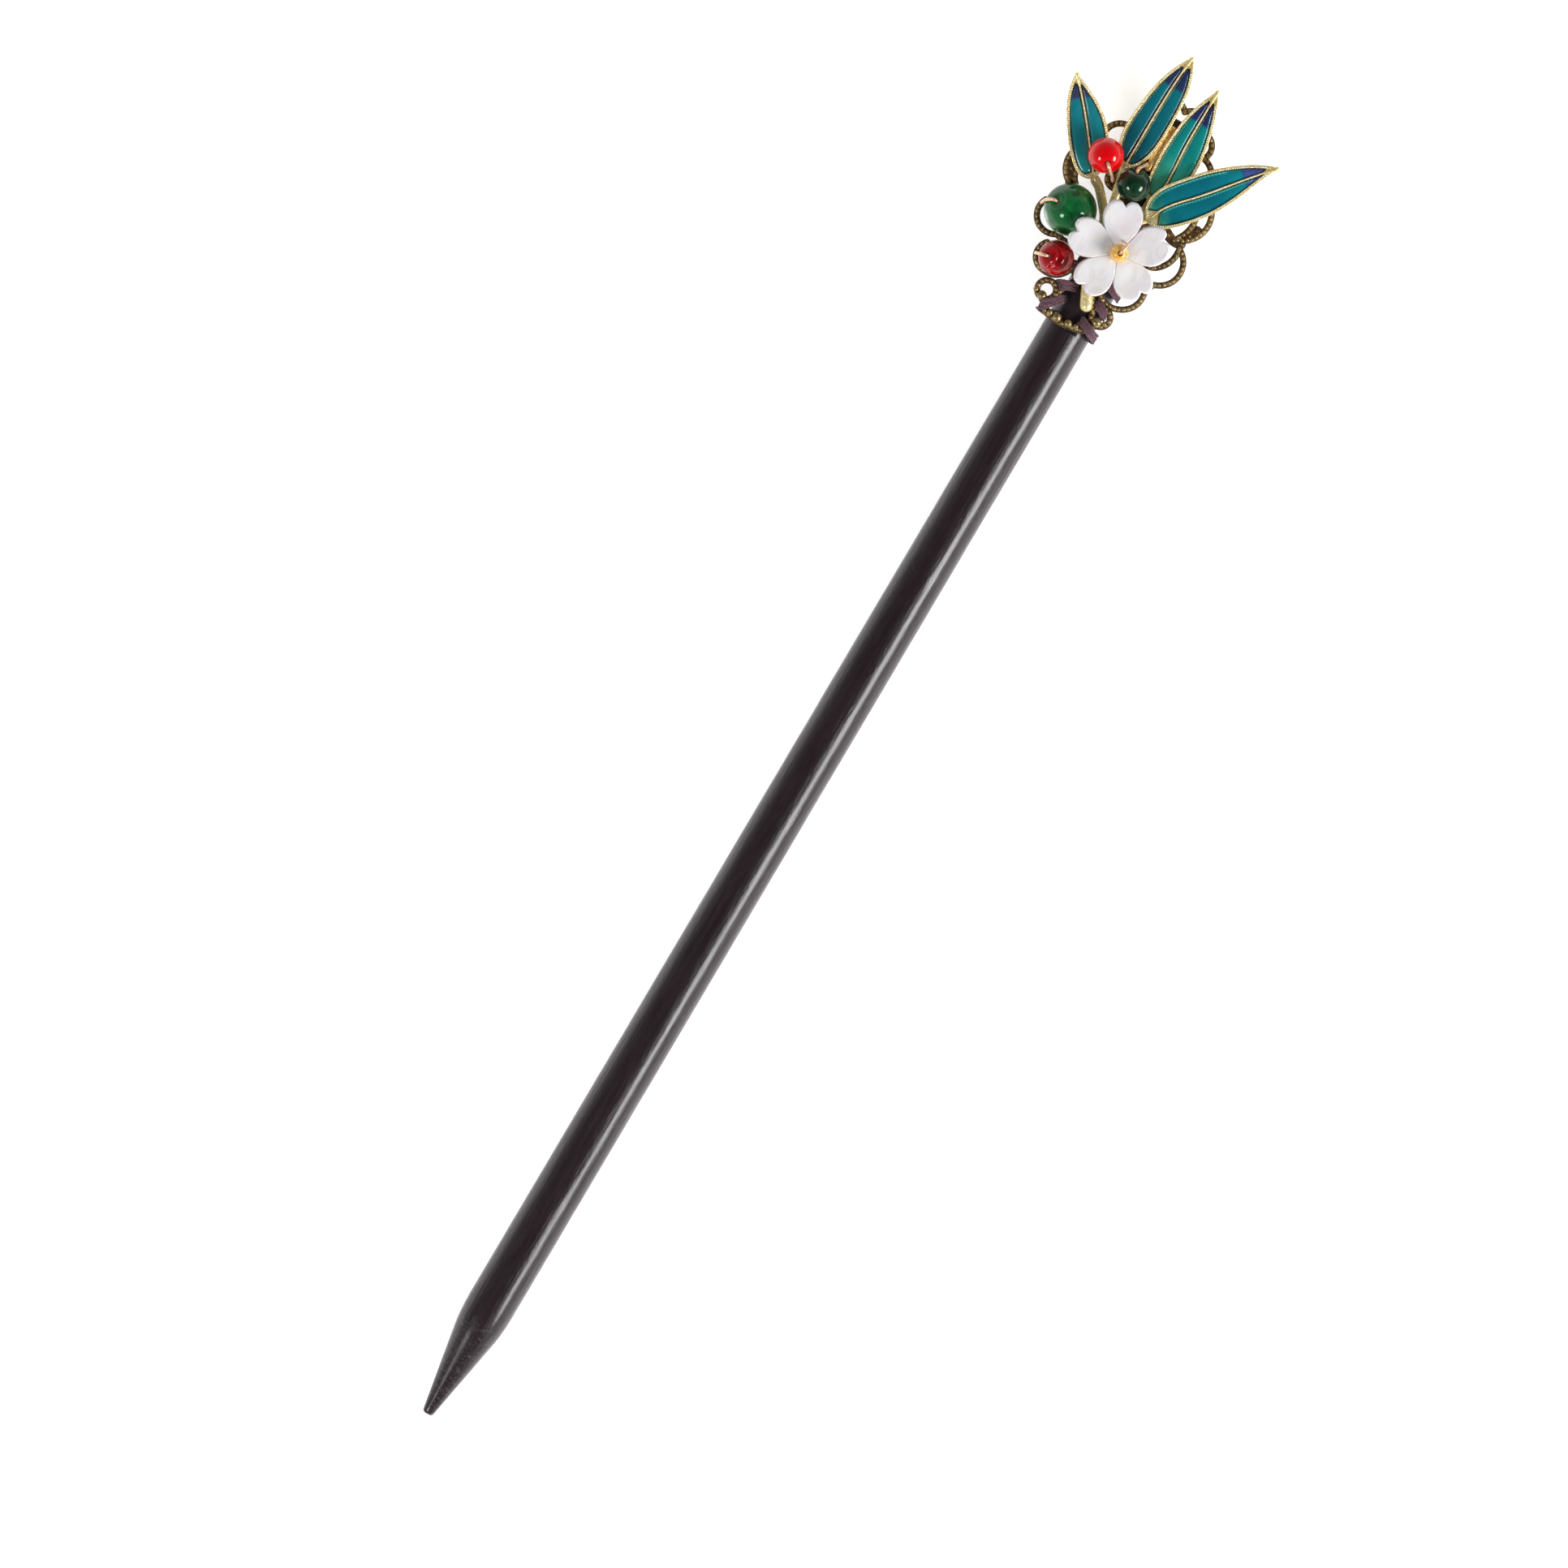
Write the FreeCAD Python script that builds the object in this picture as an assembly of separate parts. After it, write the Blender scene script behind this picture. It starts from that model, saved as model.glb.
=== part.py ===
import FreeCAD, Part
import math
import os

Vector = FreeCAD.Vector
UP = Vector(0, 0, 1)

# Frame: X runs across the stick, Y along it from the point to the head, Z up from the surface
# that it lies on. Places are measured from the stick's point, on its axis. Each piece is moved by
# minus ORIGIN as it is written, so the part's origin is the middle of its footprint.
ORIGIN = Vector(-1.45, 94.8, 0)

# Clearance between pieces that are glued, threaded or tied together
GAP = 0.05

# Stick
STICK_RADIUS = 3.0
STICK_FIRST_Y = 0.2
STICK_LAST_Y = 182.0
POINT_RADIUS = 0.72
POINT_ROUNDING = 0.3
CONE_END_Y = 11.0
CONE_END_RADIUS = 2.6
CONE_BLEND_Y = 13.0
CONE_BLEND_RADIUS = 2.89
SHANK_START_Y = 15.5
HEAD_CHAMFER = 0.2
BACK_FLAT_WIDTH = 2.6
SEAT_WIDTH = 2.4
SEAT_START_Y = 152.95
AXIS_Z = math.sqrt(STICK_RADIUS ** 2 - (BACK_FLAT_WIDTH / 2) ** 2)
SEAT_Z = AXIS_Z + math.sqrt(STICK_RADIUS ** 2 - (SEAT_WIDTH / 2) ** 2)

# Filigree plate
PLATE_THICKNESS = 0.8
PLATE_LOW = SEAT_Z + GAP
PLATE_TOP = PLATE_LOW + PLATE_THICKNESS
WIRE_WIDTH = 0.75
NEST_WIDTH = 0.5
CORE_FIRST = Vector(-3.3, 158.8, 0)
CORE_LAST = Vector(1.6, 177.0, 0)
CORE_CORNER = 1.2
CORE_HOLE_RADIUS = 1.2
CORE_HOLE_X = -0.75
CORE_HOLES_Y = (160.9, 167.6, 171.2, 174.7)

# Plate wires, each an arc: start x, y, middle x, y, end x, y
LEFT_WIRES = (
    (-4.0, 155.0, -3.7, 154.0, -2.9, 153.6),
    (-3.35, 156.1, -2.9, 157.4, -2.1, 158.95),
    (-7.5, 161.1, -7.95, 159.2, -6.2, 157.92),
    (-6.2, 157.92, -4.4, 158.35, -3.4, 159.8),
    (-10.27, 165.5, -9.92, 162.8, -7.0, 162.5),
    (-7.0, 162.5, -5.0, 162.4, -3.2, 163.4),
    (-10.15, 172.9, -10.4, 170.6, -9.0, 168.75),
    (-8.1, 168.9, -8.8, 169.9, -8.6, 171.7),
    (-8.6, 171.7, -7.2, 173.1, -5.0, 172.6),
    (-10.15, 172.9, -9.4, 174.6, -8.0, 175.1),
    (-8.0, 175.1, -7.5, 177.8, -5.9, 178.25),
    (-5.9, 178.25, -4.6, 178.1, -3.1, 177.0),
    (-4.9, 182.2, -5.8, 180.6, -5.6, 178.2),
    (-1.15, 183.15, -3.1, 183.9, -4.9, 182.2),
    (-2.9, 176.6, -3.4, 180.0, -3.1, 183.7),
    (-3.1, 170.2, -4.1, 171.4, -4.2, 173.6),
    (-4.2, 173.6, -3.8, 174.9, -2.9, 175.7),
    (-4.0, 170.8, -5.05, 171.3, -5.0, 172.6),
)
RIGHT_WIRES = (
    (0.9, 153.8, 1.9, 154.25, 2.35, 155.2),
    (1.55, 156.7, 0.8, 157.8, 0.1, 159.0),
    (1.4, 158.75, 2.8, 158.2, 4.1, 158.45),
    (4.1, 158.45, 5.45, 159.55, 5.75, 161.9),
    (5.75, 161.9, 6.0, 162.6, 6.3, 163.2),
    (6.3, 163.2, 8.33, 165.7, 6.75, 168.5),
    (6.75, 168.2, 6.4, 166.2, 5.2, 164.95),
    (5.2, 164.95, 3.4, 164.8, 1.5, 165.7),
    (7.7, 174.6, 8.3, 172.3, 6.0, 169.3),
    (6.0, 169.7, 6.65, 171.6, 6.3, 173.6),
    (6.3, 173.6, 4.6, 175.2, 1.5, 174.9),
    (7.7, 174.6, 7.1, 176.0, 5.75, 176.7),
    (5.75, 176.7, 5.0, 178.85, 3.7, 179.45),
    (3.7, 179.45, 3.92, 180.95, 2.75, 182.1),
    (-1.15, 183.15, 0.85, 183.95, 2.75, 182.1),
    (0.7, 176.6, 1.3, 180.0, 0.9, 183.8),
    (3.7, 179.45, 2.4, 179.3, 1.2, 178.6),
)
BOTTOM_WIRE = (-2.9, 153.6, -1.0, 153.45, 0.9, 153.8)
# The thick junction on the right of the plate with its link to the core, and the broad left lobe
JUNCTION_WIDTH = 1.25
JUNCTION_WIRES = (
    (4.7, 169.3, 5.5, 169.0, 6.6, 169.1),
    (4.7, 169.3, 3.2, 169.7, 1.5, 169.2),
    (6.2, 169.6, 7.0, 170.4, 7.45, 171.5),
    (-9.8, 171.4, -9.55, 170.2, -8.75, 169.3),
)
# The seat of the large green bead: an arc that the bead hides
NEST_WIRES = (
    (-9.85, 166.8, -7.1, 168.75, -4.35, 166.8),
    (-10.1, 165.4, -10.0, 166.2, -9.8, 166.9),
    (-4.35, 166.8, -3.9, 165.7, -3.1, 165.2),
    (-9.3, 168.9, -8.6, 168.35, -7.9, 168.65),
)
RING_RADIUS = 1.15
RINGS = ((-4.65, 156.1), (2.75, 156.5))
# Raised balls on the plate's lower rim: x, y, radius
BALLS = (
    (-5.8, 155.5, 0.35),
    (-4.8, 155.2, 0.6),
    (-2.9, 153.9, 0.4),
    (-1.85, 153.8, 0.6),
    (-0.3, 153.85, 0.5),
    (0.7, 154.0, 0.35),
    (2.6, 155.7, 0.65),
    (3.5, 156.0, 0.3),
    (3.85, 156.55, 0.3),
    (3.7, 157.2, 0.3),
)

# Leaves
LEAF_LOW = PLATE_TOP + 2 * GAP
LEAF_THICKNESS = 1.1
LEAF_FLOOR = 0.4
LEAF_RIM = 0.34
LEAF_RIB_HALF = 0.12
LEAF_LIFT = 4.0
ENAMEL_THICKNESS = 0.58
# How much earlier the enamel ends than its pocket, as a share of the edge for each mm of clearance
POCKET_END_SHARE = 0.15
UPPER_LEAF_LOW = LEAF_LOW + LEAF_THICKNESS + 0.1
# Each leaf: its base and tip, the edges and the midrib from base to tip, the height of its
# underside, and the stretches of left edge, right edge and midrib that border the enamel
LEAVES = {
    "leaf1": {
        "base": (-6.6, 170.6), "tip": (-14.95, 180.6), "low": LEAF_LOW,
        "left": ((-8.0, 170.1), (-10.2, 171.4), (-12.75, 174.6), (-14.62, 178.3)),
        "right": ((-6.3, 172.4), (-6.9, 174.6), (-9.6, 177.9), (-12.5, 179.6)),
        "rib": ((-9.0, 173.7), (-11.6, 176.9)),
        "ranges": ((0.08, 0.92), (0.08, 0.88), (0.06, 0.89)),
    },
    "leaf2": {
        "base": (-4.1, 173.3), "tip": (-3.7, 189.4), "low": LEAF_LOW,
        "left": ((-5.4, 174.6), (-6.4, 177.0), (-6.45, 180.0), (-6.0, 183.7), (-4.9, 187.3)),
        "right": ((-2.7, 174.8), (-2.0, 176.5), (-1.7, 179.5), (-1.75, 183.0), (-2.6, 187.5)),
        "rib": ((-4.1, 176.5), (-4.1, 180.0), (-4.0, 185.0)),
        "ranges": ((0.08, 0.90), (0.08, 0.92), (0.06, 0.90)),
    },
    "leaf3": {
        "base": (0.8, 171.0), "tip": (1.05, 187.5), "low": LEAF_LOW,
        "left": ((-0.4, 172.7), (-1.0, 175.0), (-1.1, 179.0), (-0.8, 182.2), (0.1, 185.4)),
        "right": ((2.4, 172.3), (3.4, 174.6), (3.7, 178.0), (3.1, 182.0), (2.1, 185.2)),
        "rib": ((1.35, 174.8), (1.1, 179.0), (1.05, 183.0)),
        "ranges": ((0.09, 0.90), (0.09, 0.90), (0.08, 0.90)),
    },
    "leaf4": {
        "base": (1.6, 169.3), "tip": (12.25, 183.1), "low": UPPER_LEAF_LOW,
        "left": ((0.6, 170.9), (0.8, 173.0), (2.5, 175.6), (5.0, 178.4), (8.0, 180.9), (10.6, 182.45)),
        "right": ((3.0, 169.25), (5.2, 170.7), (7.4, 173.2), (9.5, 176.8), (11.2, 180.9)),
        "rib": ((2.9, 172.1), (5.0, 174.5), (9.0, 179.3)),
        "ranges": ((0.07, 0.92), (0.08, 0.87), (0.1, 0.89)),
    },
}

# Gilt stem: routes of the main stem and its two branches, x, y, z
STEM_RADIUS = 0.78
BRANCH_RADIUS = 0.58
STEM_BEND = 2.0
STEM_Z = PLATE_TOP + GAP + STEM_RADIUS
BRANCH_SINK = 0.06
BRANCH_Z = LEAF_LOW + BRANCH_RADIUS - BRANCH_SINK
STEM_ROUTE = (
    (0.5, 156.8, STEM_Z),
    (-0.75, 159.3, STEM_Z),
    (-1.9, 163.2, STEM_Z),
    (-2.4, 165.6, STEM_Z),
)
LEAF1_ROUTE = (
    (-2.2, 164.6, BRANCH_Z),
    (-2.9, 167.0, BRANCH_Z),
    (-4.3, 168.7, BRANCH_Z),
    (-5.6, 170.1, BRANCH_Z),
    (-6.6, 170.7, BRANCH_Z),
)
LEAF2_ROUTE = (
    (-2.3, 165.0, BRANCH_Z),
    (-2.7, 168.0, BRANCH_Z),
    (-3.3, 170.6, BRANCH_Z),
    (-4.05, 173.75, BRANCH_Z),
)
LEAF3_ROUTE = (
    (-1.8, 162.8, BRANCH_Z),
    (-0.4, 166.2, BRANCH_Z),
    (0.6, 168.8, BRANCH_Z),
    (0.85, 171.5, BRANCH_Z),
)
# The solder post that lifts the fourth leaf above the third one, and its radius
POST_PLACE = (1.8, 170.1)
POST_RADIUS = 0.62
POST_LINK = ((0.6, 168.8, BRANCH_Z), (1.8, 170.1, BRANCH_Z))
# The gold web that bridges the second and third leaves
WEB_POINTS = ((-2.1, 175.9), (-2.0, 179.5), (-1.7, 180.7), (-1.1, 180.7), (-0.9, 179.0), (-0.9, 175.9))
WEB_THICKNESS = 0.5

# Beads: centre, diameter, where the wire leaves the bead's upper side, and the wire's foot
HOLE_RADIUS = 0.36
BEAD_WIRE_RADIUS = 0.2
WIRE_BEND = 0.5
WIRE_STAND_OFF = 0.45
WIRE_SHOULDER_OFF = 0.4
WIRE_START_SHARE = 0.6
BEADS = {
    "red_bead_upper": {
        "centre": (-6.7, 173.6, 10.0), "diameter": 4.4, "exit": (0.7, -0.8), "foot": (-4.45, 171.45),
    },
    "red_bead_lower": {
        "centre": (-5.6, 159.9, PLATE_TOP + GAP + 2.2), "diameter": 4.4,
        "exit": (-1.1, -0.4), "foot": (-8.05, 159.2),
    },
    "green_bead_large": {
        "centre": (-7.1, 165.8, 8.35), "diameter": 6.5, "exit": (-2.1, 0.0), "foot": (-10.55, 164.8),
    },
    "green_bead_small": {
        "centre": (-2.0, 172.25, 9.35), "diameter": 4.2, "exit": (-0.45, 1.6), "foot": (-1.95, 175.25),
    },
}

# Mother-of-pearl flower
FLOWER_CENTRE = Vector(0.37, 164.1, 10.4)
FLOWER_TILT = 8.0
FLOWER_THICKNESS = 1.5
PETALS = 5
FIRST_PETAL_ANGLE = 40.0
PETAL_SEAM_END = 2.6
PETAL_HALF_WIDTH = 2.5
PETAL_WIDEST = 4.4
PETAL_SHOULDER = (5.9, 1.85)
PETAL_LOBE = (6.35, 0.95)
PETAL_NOTCH = 5.7
PETAL_DISH_DEPTH = 0.45
PETAL_DISH_RADIUS = 5.0
PETAL_DISH_CENTRE = 3.5
SEAM_DEPTH = 0.45
FLOWER_EYE_RADIUS = 2.2
FLOWER_EYE_DEPTH = 0.4
FLOWER_HOLE_RADIUS = 0.45
CENTRE_BEAD_RADIUS = 1.15
CENTRE_BEAD_Z = FLOWER_THICKNESS - FLOWER_EYE_DEPTH + CENTRE_BEAD_RADIUS + GAP

# Thread lashings
THREAD_THICKNESS = 0.4
THREAD_WIDTH = 1.2
LASHING_RADIUS = STICK_RADIUS + GAP
FLANK_Z = AXIS_Z + 0.6
NOTCH_Z = 2 * GAP + THREAD_THICKNESS
OVER_Z = PLATE_TOP + GAP + THREAD_THICKNESS / 2
# Each lashing: the place of its turn round the stick's back, and the left and right straps from
# the stick's flank over the plate: x, y, z and half the strap's width
LASHINGS = {
    "thread_lashing_low": {
        "back": 153.9,
        "left": (
            (-3.25, 153.9, 2.8, 0.6), (-3.9, 154.0, 4.6, 0.6), (-4.4, 154.15, 5.8, 0.6),
            (-4.0, 154.5, OVER_Z + 0.1, 0.6), (-3.2, 155.2, OVER_Z + 0.1, 0.6),
            (-2.6, 155.85, OVER_Z - 0.2, 0.55), (-2.35, 156.15, 5.5, 0.5),
        ),
        "right": (
            (3.25, 153.9, 2.8, 0.6), (3.55, 153.9, 4.2, 0.8), (3.2, 154.0, 5.7, 0.8),
            (2.4, 154.3, OVER_Z + 0.1, 0.7), (1.5, 154.75, OVER_Z, 0.5),
            (1.0, 154.95, OVER_Z - 0.4, 0.45), (0.85, 155.0, 5.75, 0.4),
        ),
    },
    "thread_lashing_middle": {
        "back": 157.0,
        "left": (
            (-3.25, 157.0, 2.8, 0.6), (-3.7, 157.1, 4.6, 0.6), (-3.8, 157.3, 5.9, 0.6),
            (-3.3, 157.6, OVER_Z + 0.1, 0.6), (-2.4, 157.9, OVER_Z + 0.1, 0.6),
            (-1.75, 158.1, OVER_Z - 0.3, 0.55), (-1.6, 158.15, 5.8, 0.5),
        ),
        "right": (
            (3.25, 157.0, 2.8, 0.6), (3.2, 156.9, 4.6, 0.5), (3.05, 156.85, 5.8, 0.45),
            (2.75, 157.05, OVER_Z + 0.1, 0.55), (2.1, 157.55, OVER_Z + 0.1, 0.65),
            (1.55, 157.9, OVER_Z - 0.3, 0.65), (1.4, 158.0, 5.8, 0.6),
        ),
    },
    "thread_lashing_upper": {
        "back": 160.0,
        "left": (
            (-3.25, 160.0, 2.8, 0.6), (-3.8, 160.1, 4.6, 0.6), (-4.0, 160.2, 5.8, 0.6),
            (-3.4, 160.4, OVER_Z + 0.1, 0.6), (-2.8, 160.55, OVER_Z, 0.55),
            (-2.3, 160.65, OVER_Z, 0.5),
        ),
        "right": (
            (3.25, 159.8, 2.8, 0.6), (3.5, 159.7, 4.6, 0.6), (3.4, 159.7, 5.9, 0.6),
            (2.8, 159.9, OVER_Z + 0.1, 0.6), (1.4, 160.4, OVER_Z + 0.1, 0.6),
            (0.55, 160.7, OVER_Z - 0.1, 0.55), (0.25, 160.8, 5.8, 0.5),
        ),
    },
}


def plan(point, height=0.0):
    """Vector at a height above a place on the surface."""
    return Vector(point[0], point[1], height)


def curve(points):
    """Smooth curve through the points."""
    spline = Part.BSplineCurve()
    spline.interpolate(points)
    return spline


def prism(edges, low, thickness):
    """Solid over a closed outline drawn at height zero."""
    face = Part.Face(Part.Wire(edges))
    face.translate(UP * low)
    return face.extrude(UP * thickness)


def block(first, last, low, high):
    """Upright box between two plan corners and two heights."""
    box = Part.makeBox(last.x - first.x, last.y - first.y, high - low)
    box.translate(Vector(first.x, first.y, low))
    return box


def arc_bar(row, width, low, thickness):
    """Bar with round ends along the arc through three plan points."""
    start, middle, end = (Vector(row[i], row[i + 1], 0) for i in (0, 2, 4))
    circle = Part.Arc(start, middle, end).toShape().Curve
    centre, radius = circle.Center, circle.Radius
    half = width / 2

    def shifted(point, amount):
        return centre + (point - centre) * ((radius + amount) / radius)

    def cap(point):
        spoke = (point - centre).normalize()
        tangent = Vector(-spoke.y, spoke.x, 0)
        if tangent.dot(point - middle) < 0:
            tangent = tangent * -1
        return point + tangent * half

    outline = [
        Part.Arc(shifted(start, half), shifted(middle, half), shifted(end, half)),
        Part.Arc(shifted(end, half), cap(end), shifted(end, -half)),
        Part.Arc(shifted(end, -half), shifted(middle, -half), shifted(start, -half)),
        Part.Arc(shifted(start, -half), cap(start), shifted(start, half)),
    ]
    return prism([side.toShape() for side in outline], low, thickness)


def ring(x, y, radius, width, low, thickness):
    """Flat upright-walled ring about its middle radius."""
    outer = Part.makeCylinder(radius + width / 2, thickness, Vector(x, y, low))
    inner = Part.makeCylinder(radius - width / 2, thickness, Vector(x, y, low))
    return outer.cut(inner)


def tube(points, radius, bend):
    """Round wire along straight runs that are joined by tangent arcs."""
    corners = [Vector(*point) for point in points]
    edges = []
    here = corners[0]
    for before, corner, after in zip(corners, corners[1:], corners[2:]):
        back = (before - corner).normalize()
        ahead = (after - corner).normalize()
        turn = math.pi - back.getAngle(ahead)
        shorter = min((before - corner).Length, (after - corner).Length)
        trim = min(bend * math.tan(turn / 2), 0.45 * shorter)
        arc_radius = trim / math.tan(turn / 2)
        inward = (back + ahead).normalize()
        depth = math.hypot(arc_radius, trim) - arc_radius
        first, last = corner + back * trim, corner + ahead * trim
        edges.append(Part.LineSegment(here, first).toShape())
        edges.append(Part.Arc(first, corner + inward * depth, last).toShape())
        here = last
    edges.append(Part.LineSegment(here, corners[-1]).toShape())
    section = Part.Circle(corners[0], (corners[1] - corners[0]).normalize(), radius)
    return Part.Wire(edges).makePipeShell([Part.Wire([section.toShape()])], True, False)


def stick():
    """Rod with a blunt cone, a planed back to rest on, and a seat for the plate."""
    profile = [
        Vector(0, STICK_FIRST_Y, 0),
        Vector(POINT_RADIUS - POINT_ROUNDING, STICK_FIRST_Y, 0),
        Vector(POINT_RADIUS, STICK_FIRST_Y + POINT_ROUNDING, 0),
        Vector(CONE_END_RADIUS, CONE_END_Y, 0),
        Vector(STICK_RADIUS, SHANK_START_Y, 0),
        Vector(STICK_RADIUS, STICK_LAST_Y - HEAD_CHAMFER, 0),
        Vector(STICK_RADIUS - HEAD_CHAMFER, STICK_LAST_Y, 0),
        Vector(0, STICK_LAST_Y, 0),
    ]
    edges = [Part.LineSegment(a, b).toShape() for a, b in zip(profile, profile[1:])]
    blend_middle = Vector(CONE_BLEND_RADIUS, CONE_BLEND_Y, 0)
    edges[3] = Part.Arc(profile[3], blend_middle, profile[4]).toShape()
    edges.append(Part.LineSegment(profile[-1], profile[0]).toShape())
    rod = Part.Face(Part.Wire(edges)).revolve(Vector(0, 0, 0), Vector(0, 1, 0), 360)
    rod = Part.Solid(rod) if rod.ShapeType == "Shell" else rod
    rod.translate(UP * AXIS_Z)
    side = 2 * STICK_RADIUS
    rod = rod.cut(block(Vector(-side, 0, 0), Vector(side, STICK_LAST_Y + side, 0), -side, 0))
    seat_first = Vector(-side, SEAT_START_Y, 0)
    rod = rod.cut(block(seat_first, Vector(side, STICK_LAST_Y + side, 0), SEAT_Z, side + AXIS_Z))
    half = THREAD_WIDTH / 2 + GAP
    for row in LASHINGS.values():
        first = Vector(-side, row["back"] - half, 0)
        rod = rod.cut(block(first, Vector(side, row["back"] + half, 0), -side, NOTCH_Z))
    return rod


def plate_solid(clearance=0.0):
    """Pierced plate, or the room that it takes up with a clearance all round."""
    low = PLATE_LOW - clearance
    thickness = PLATE_THICKNESS + 2 * clearance
    widths = (
        (LEFT_WIRES + RIGHT_WIRES + (BOTTOM_WIRE,), WIRE_WIDTH),
        (JUNCTION_WIRES, JUNCTION_WIDTH),
        (NEST_WIRES, NEST_WIDTH),
    )
    bars = []
    for rows, width in widths:
        bars += [arc_bar(row, width + 2 * clearance, low, thickness) for row in rows]
    for x, y in RINGS:
        bars.append(ring(x, y, RING_RADIUS, WIRE_WIDTH + 2 * clearance, low, thickness))
    for x, y, radius in BALLS:
        ball = Part.makeSphere(radius + clearance, Vector(x, y, PLATE_TOP))
        above = Part.makeCylinder(2 * radius, 2 * radius, Vector(x, y, PLATE_TOP - PLATE_THICKNESS / 2))
        bars.append(ball.common(above))
    grow = Vector(clearance, clearance, 0)
    core = block(CORE_FIRST - grow, CORE_LAST + grow, low, low + thickness)
    upright = [edge for edge in core.Edges if abs(edge.tangentAt(edge.FirstParameter).z) > 0.9]
    core = core.makeFillet(CORE_CORNER, upright)
    for y in CORE_HOLES_Y:
        hole = Part.makeCylinder(CORE_HOLE_RADIUS - clearance, thickness, Vector(CORE_HOLE_X, y, low))
        core = core.cut(hole)
    return core.multiFuse(bars).removeSplitter()


def leaf_edges(leaf):
    """Left edge, right edge and midrib of a leaf, each from base to tip."""
    base, tip = plan(leaf["base"]), plan(leaf["tip"])
    return [curve([base] + [plan(p) for p in leaf[side]] + [tip]) for side in ("left", "right", "rib")]


def offset_curve(spline, stretch, distance, count=8):
    """Curve beside a stretch of another one; a positive distance lies to its left."""
    points = []
    for step in range(count):
        share = stretch[0] + (stretch[1] - stretch[0]) * step / (count - 1)
        place = spline.FirstParameter + share * (spline.LastParameter - spline.FirstParameter)
        tangent = spline.tangent(place)[0]
        points.append(spline.value(place) + Vector(-tangent.y, tangent.x, 0).normalize() * distance)
    return curve(points)


def leaf_pocket(leaf, side, clearance, low, thickness):
    """Room for one half of a leaf's enamel, between its rim and its midrib."""
    left, right, rib = leaf_edges(leaf)
    left_stretch, right_stretch, rib_stretch = leaf["ranges"]
    outer, sign, stretch = (left, 1, left_stretch) if side == "left" else (right, -1, right_stretch)
    trim = clearance * POCKET_END_SHARE
    stretch = (stretch[0] + trim, stretch[1] - trim)
    rib_stretch = (rib_stretch[0] + trim, rib_stretch[1] - trim)
    rim_side = offset_curve(outer, stretch, -sign * (LEAF_RIM + clearance))
    rib_side = offset_curve(rib, rib_stretch, sign * (LEAF_RIB_HALF + clearance))
    edges = [
        rim_side.toShape(),
        Part.LineSegment(rim_side.EndPoint, rib_side.EndPoint).toShape(),
        rib_side.toShape(),
        Part.LineSegment(rib_side.StartPoint, rim_side.StartPoint).toShape(),
    ]
    return prism(Part.__sortEdges__(edges), low, thickness)


def lifted(shape, leaf):
    """The leaf turned up a little about its base, so that its tip rises."""
    base, tip = plan(leaf["base"], leaf["low"]), plan(leaf["tip"], leaf["low"])
    shape.rotate(base, (tip - base).cross(UP), LEAF_LIFT)
    return shape


def leaf_frame(leaf):
    """Gilt frame of a leaf: a floor, a rim round it and the midrib."""
    outline = [edge.toShape() for edge in leaf_edges(leaf)[:2]]
    frame = prism(outline, leaf["low"], LEAF_THICKNESS)
    for side in ("left", "right"):
        pocket = leaf_pocket(leaf, side, 0.0, leaf["low"] + LEAF_FLOOR, LEAF_THICKNESS)
        frame = frame.cut(pocket)
    return lifted(frame, leaf)


def enamel(leaf, side):
    """One half of a leaf's enamel, just clear of its frame."""
    return lifted(leaf_pocket(leaf, side, GAP, leaf["low"] + LEAF_FLOOR + GAP, ENAMEL_THICKNESS), leaf)


def leaf_spray():
    """Four leaf frames soldered to one forked stem."""
    spray = tube(STEM_ROUTE, STEM_RADIUS, STEM_BEND)
    pieces = [Part.makeSphere(STEM_RADIUS, Vector(*STEM_ROUTE[0]))]
    for route in (LEAF1_ROUTE, LEAF2_ROUTE, LEAF3_ROUTE, POST_LINK):
        pieces.append(tube(route, BRANCH_RADIUS, STEM_BEND))
    post_top = UPPER_LEAF_LOW + LEAF_FLOOR / 2
    pieces.append(Part.makeCylinder(POST_RADIUS, post_top - LEAF_LOW, plan(POST_PLACE, LEAF_LOW)))
    pieces += [leaf_frame(leaf) for leaf in LEAVES.values()]
    corners = [plan(point) for point in WEB_POINTS]
    sides = [Part.LineSegment(a, b).toShape() for a, b in zip(corners, corners[1:] + corners[:1])]
    pieces.append(prism(sides, LEAF_LOW + LEAF_FLOOR, WEB_THICKNESS))
    for piece in pieces:
        spray = spray.fuse(piece)
    return spray.removeSplitter()


def bead_places(row):
    """A bead's centre and radius, the direction of its hole and of its wire's foot."""
    centre, radius = Vector(*row["centre"]), row["diameter"] / 2
    across = Vector(row["exit"][0], row["exit"][1], 0)
    hole = (across + UP * math.sqrt(radius ** 2 - across.Length ** 2)).normalize()
    foot = plan(row["foot"], centre.z) - centre
    return centre, radius, hole, foot


def bead_wire(row, radius=BEAD_WIRE_RADIUS):
    """Wire up through the bead's hole, over its side and down to the plate."""
    centre, ball, hole, foot = bead_places(row)
    shoulder = (hole + foot.normalize()).normalize()
    route = (
        centre - hole * (WIRE_START_SHARE * ball),
        centre + hole * (ball + WIRE_STAND_OFF),
        centre + shoulder * (ball + WIRE_SHOULDER_OFF),
        plan(row["foot"], centre.z - WIRE_SHOULDER_OFF),
        plan(row["foot"], PLATE_TOP + GAP),
    )
    return tube(route, radius, WIRE_BEND)


def bead(row):
    """Round bead, drilled for its wire."""
    centre, radius, hole, foot = bead_places(row)
    ball = Part.makeSphere(radius, centre)
    drill = Part.makeCylinder(HOLE_RADIUS, 3 * radius, centre - hole * (1.5 * radius), hole)
    return ball.cut(drill).cut(bead_wire(row, BEAD_WIRE_RADIUS + GAP))


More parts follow.
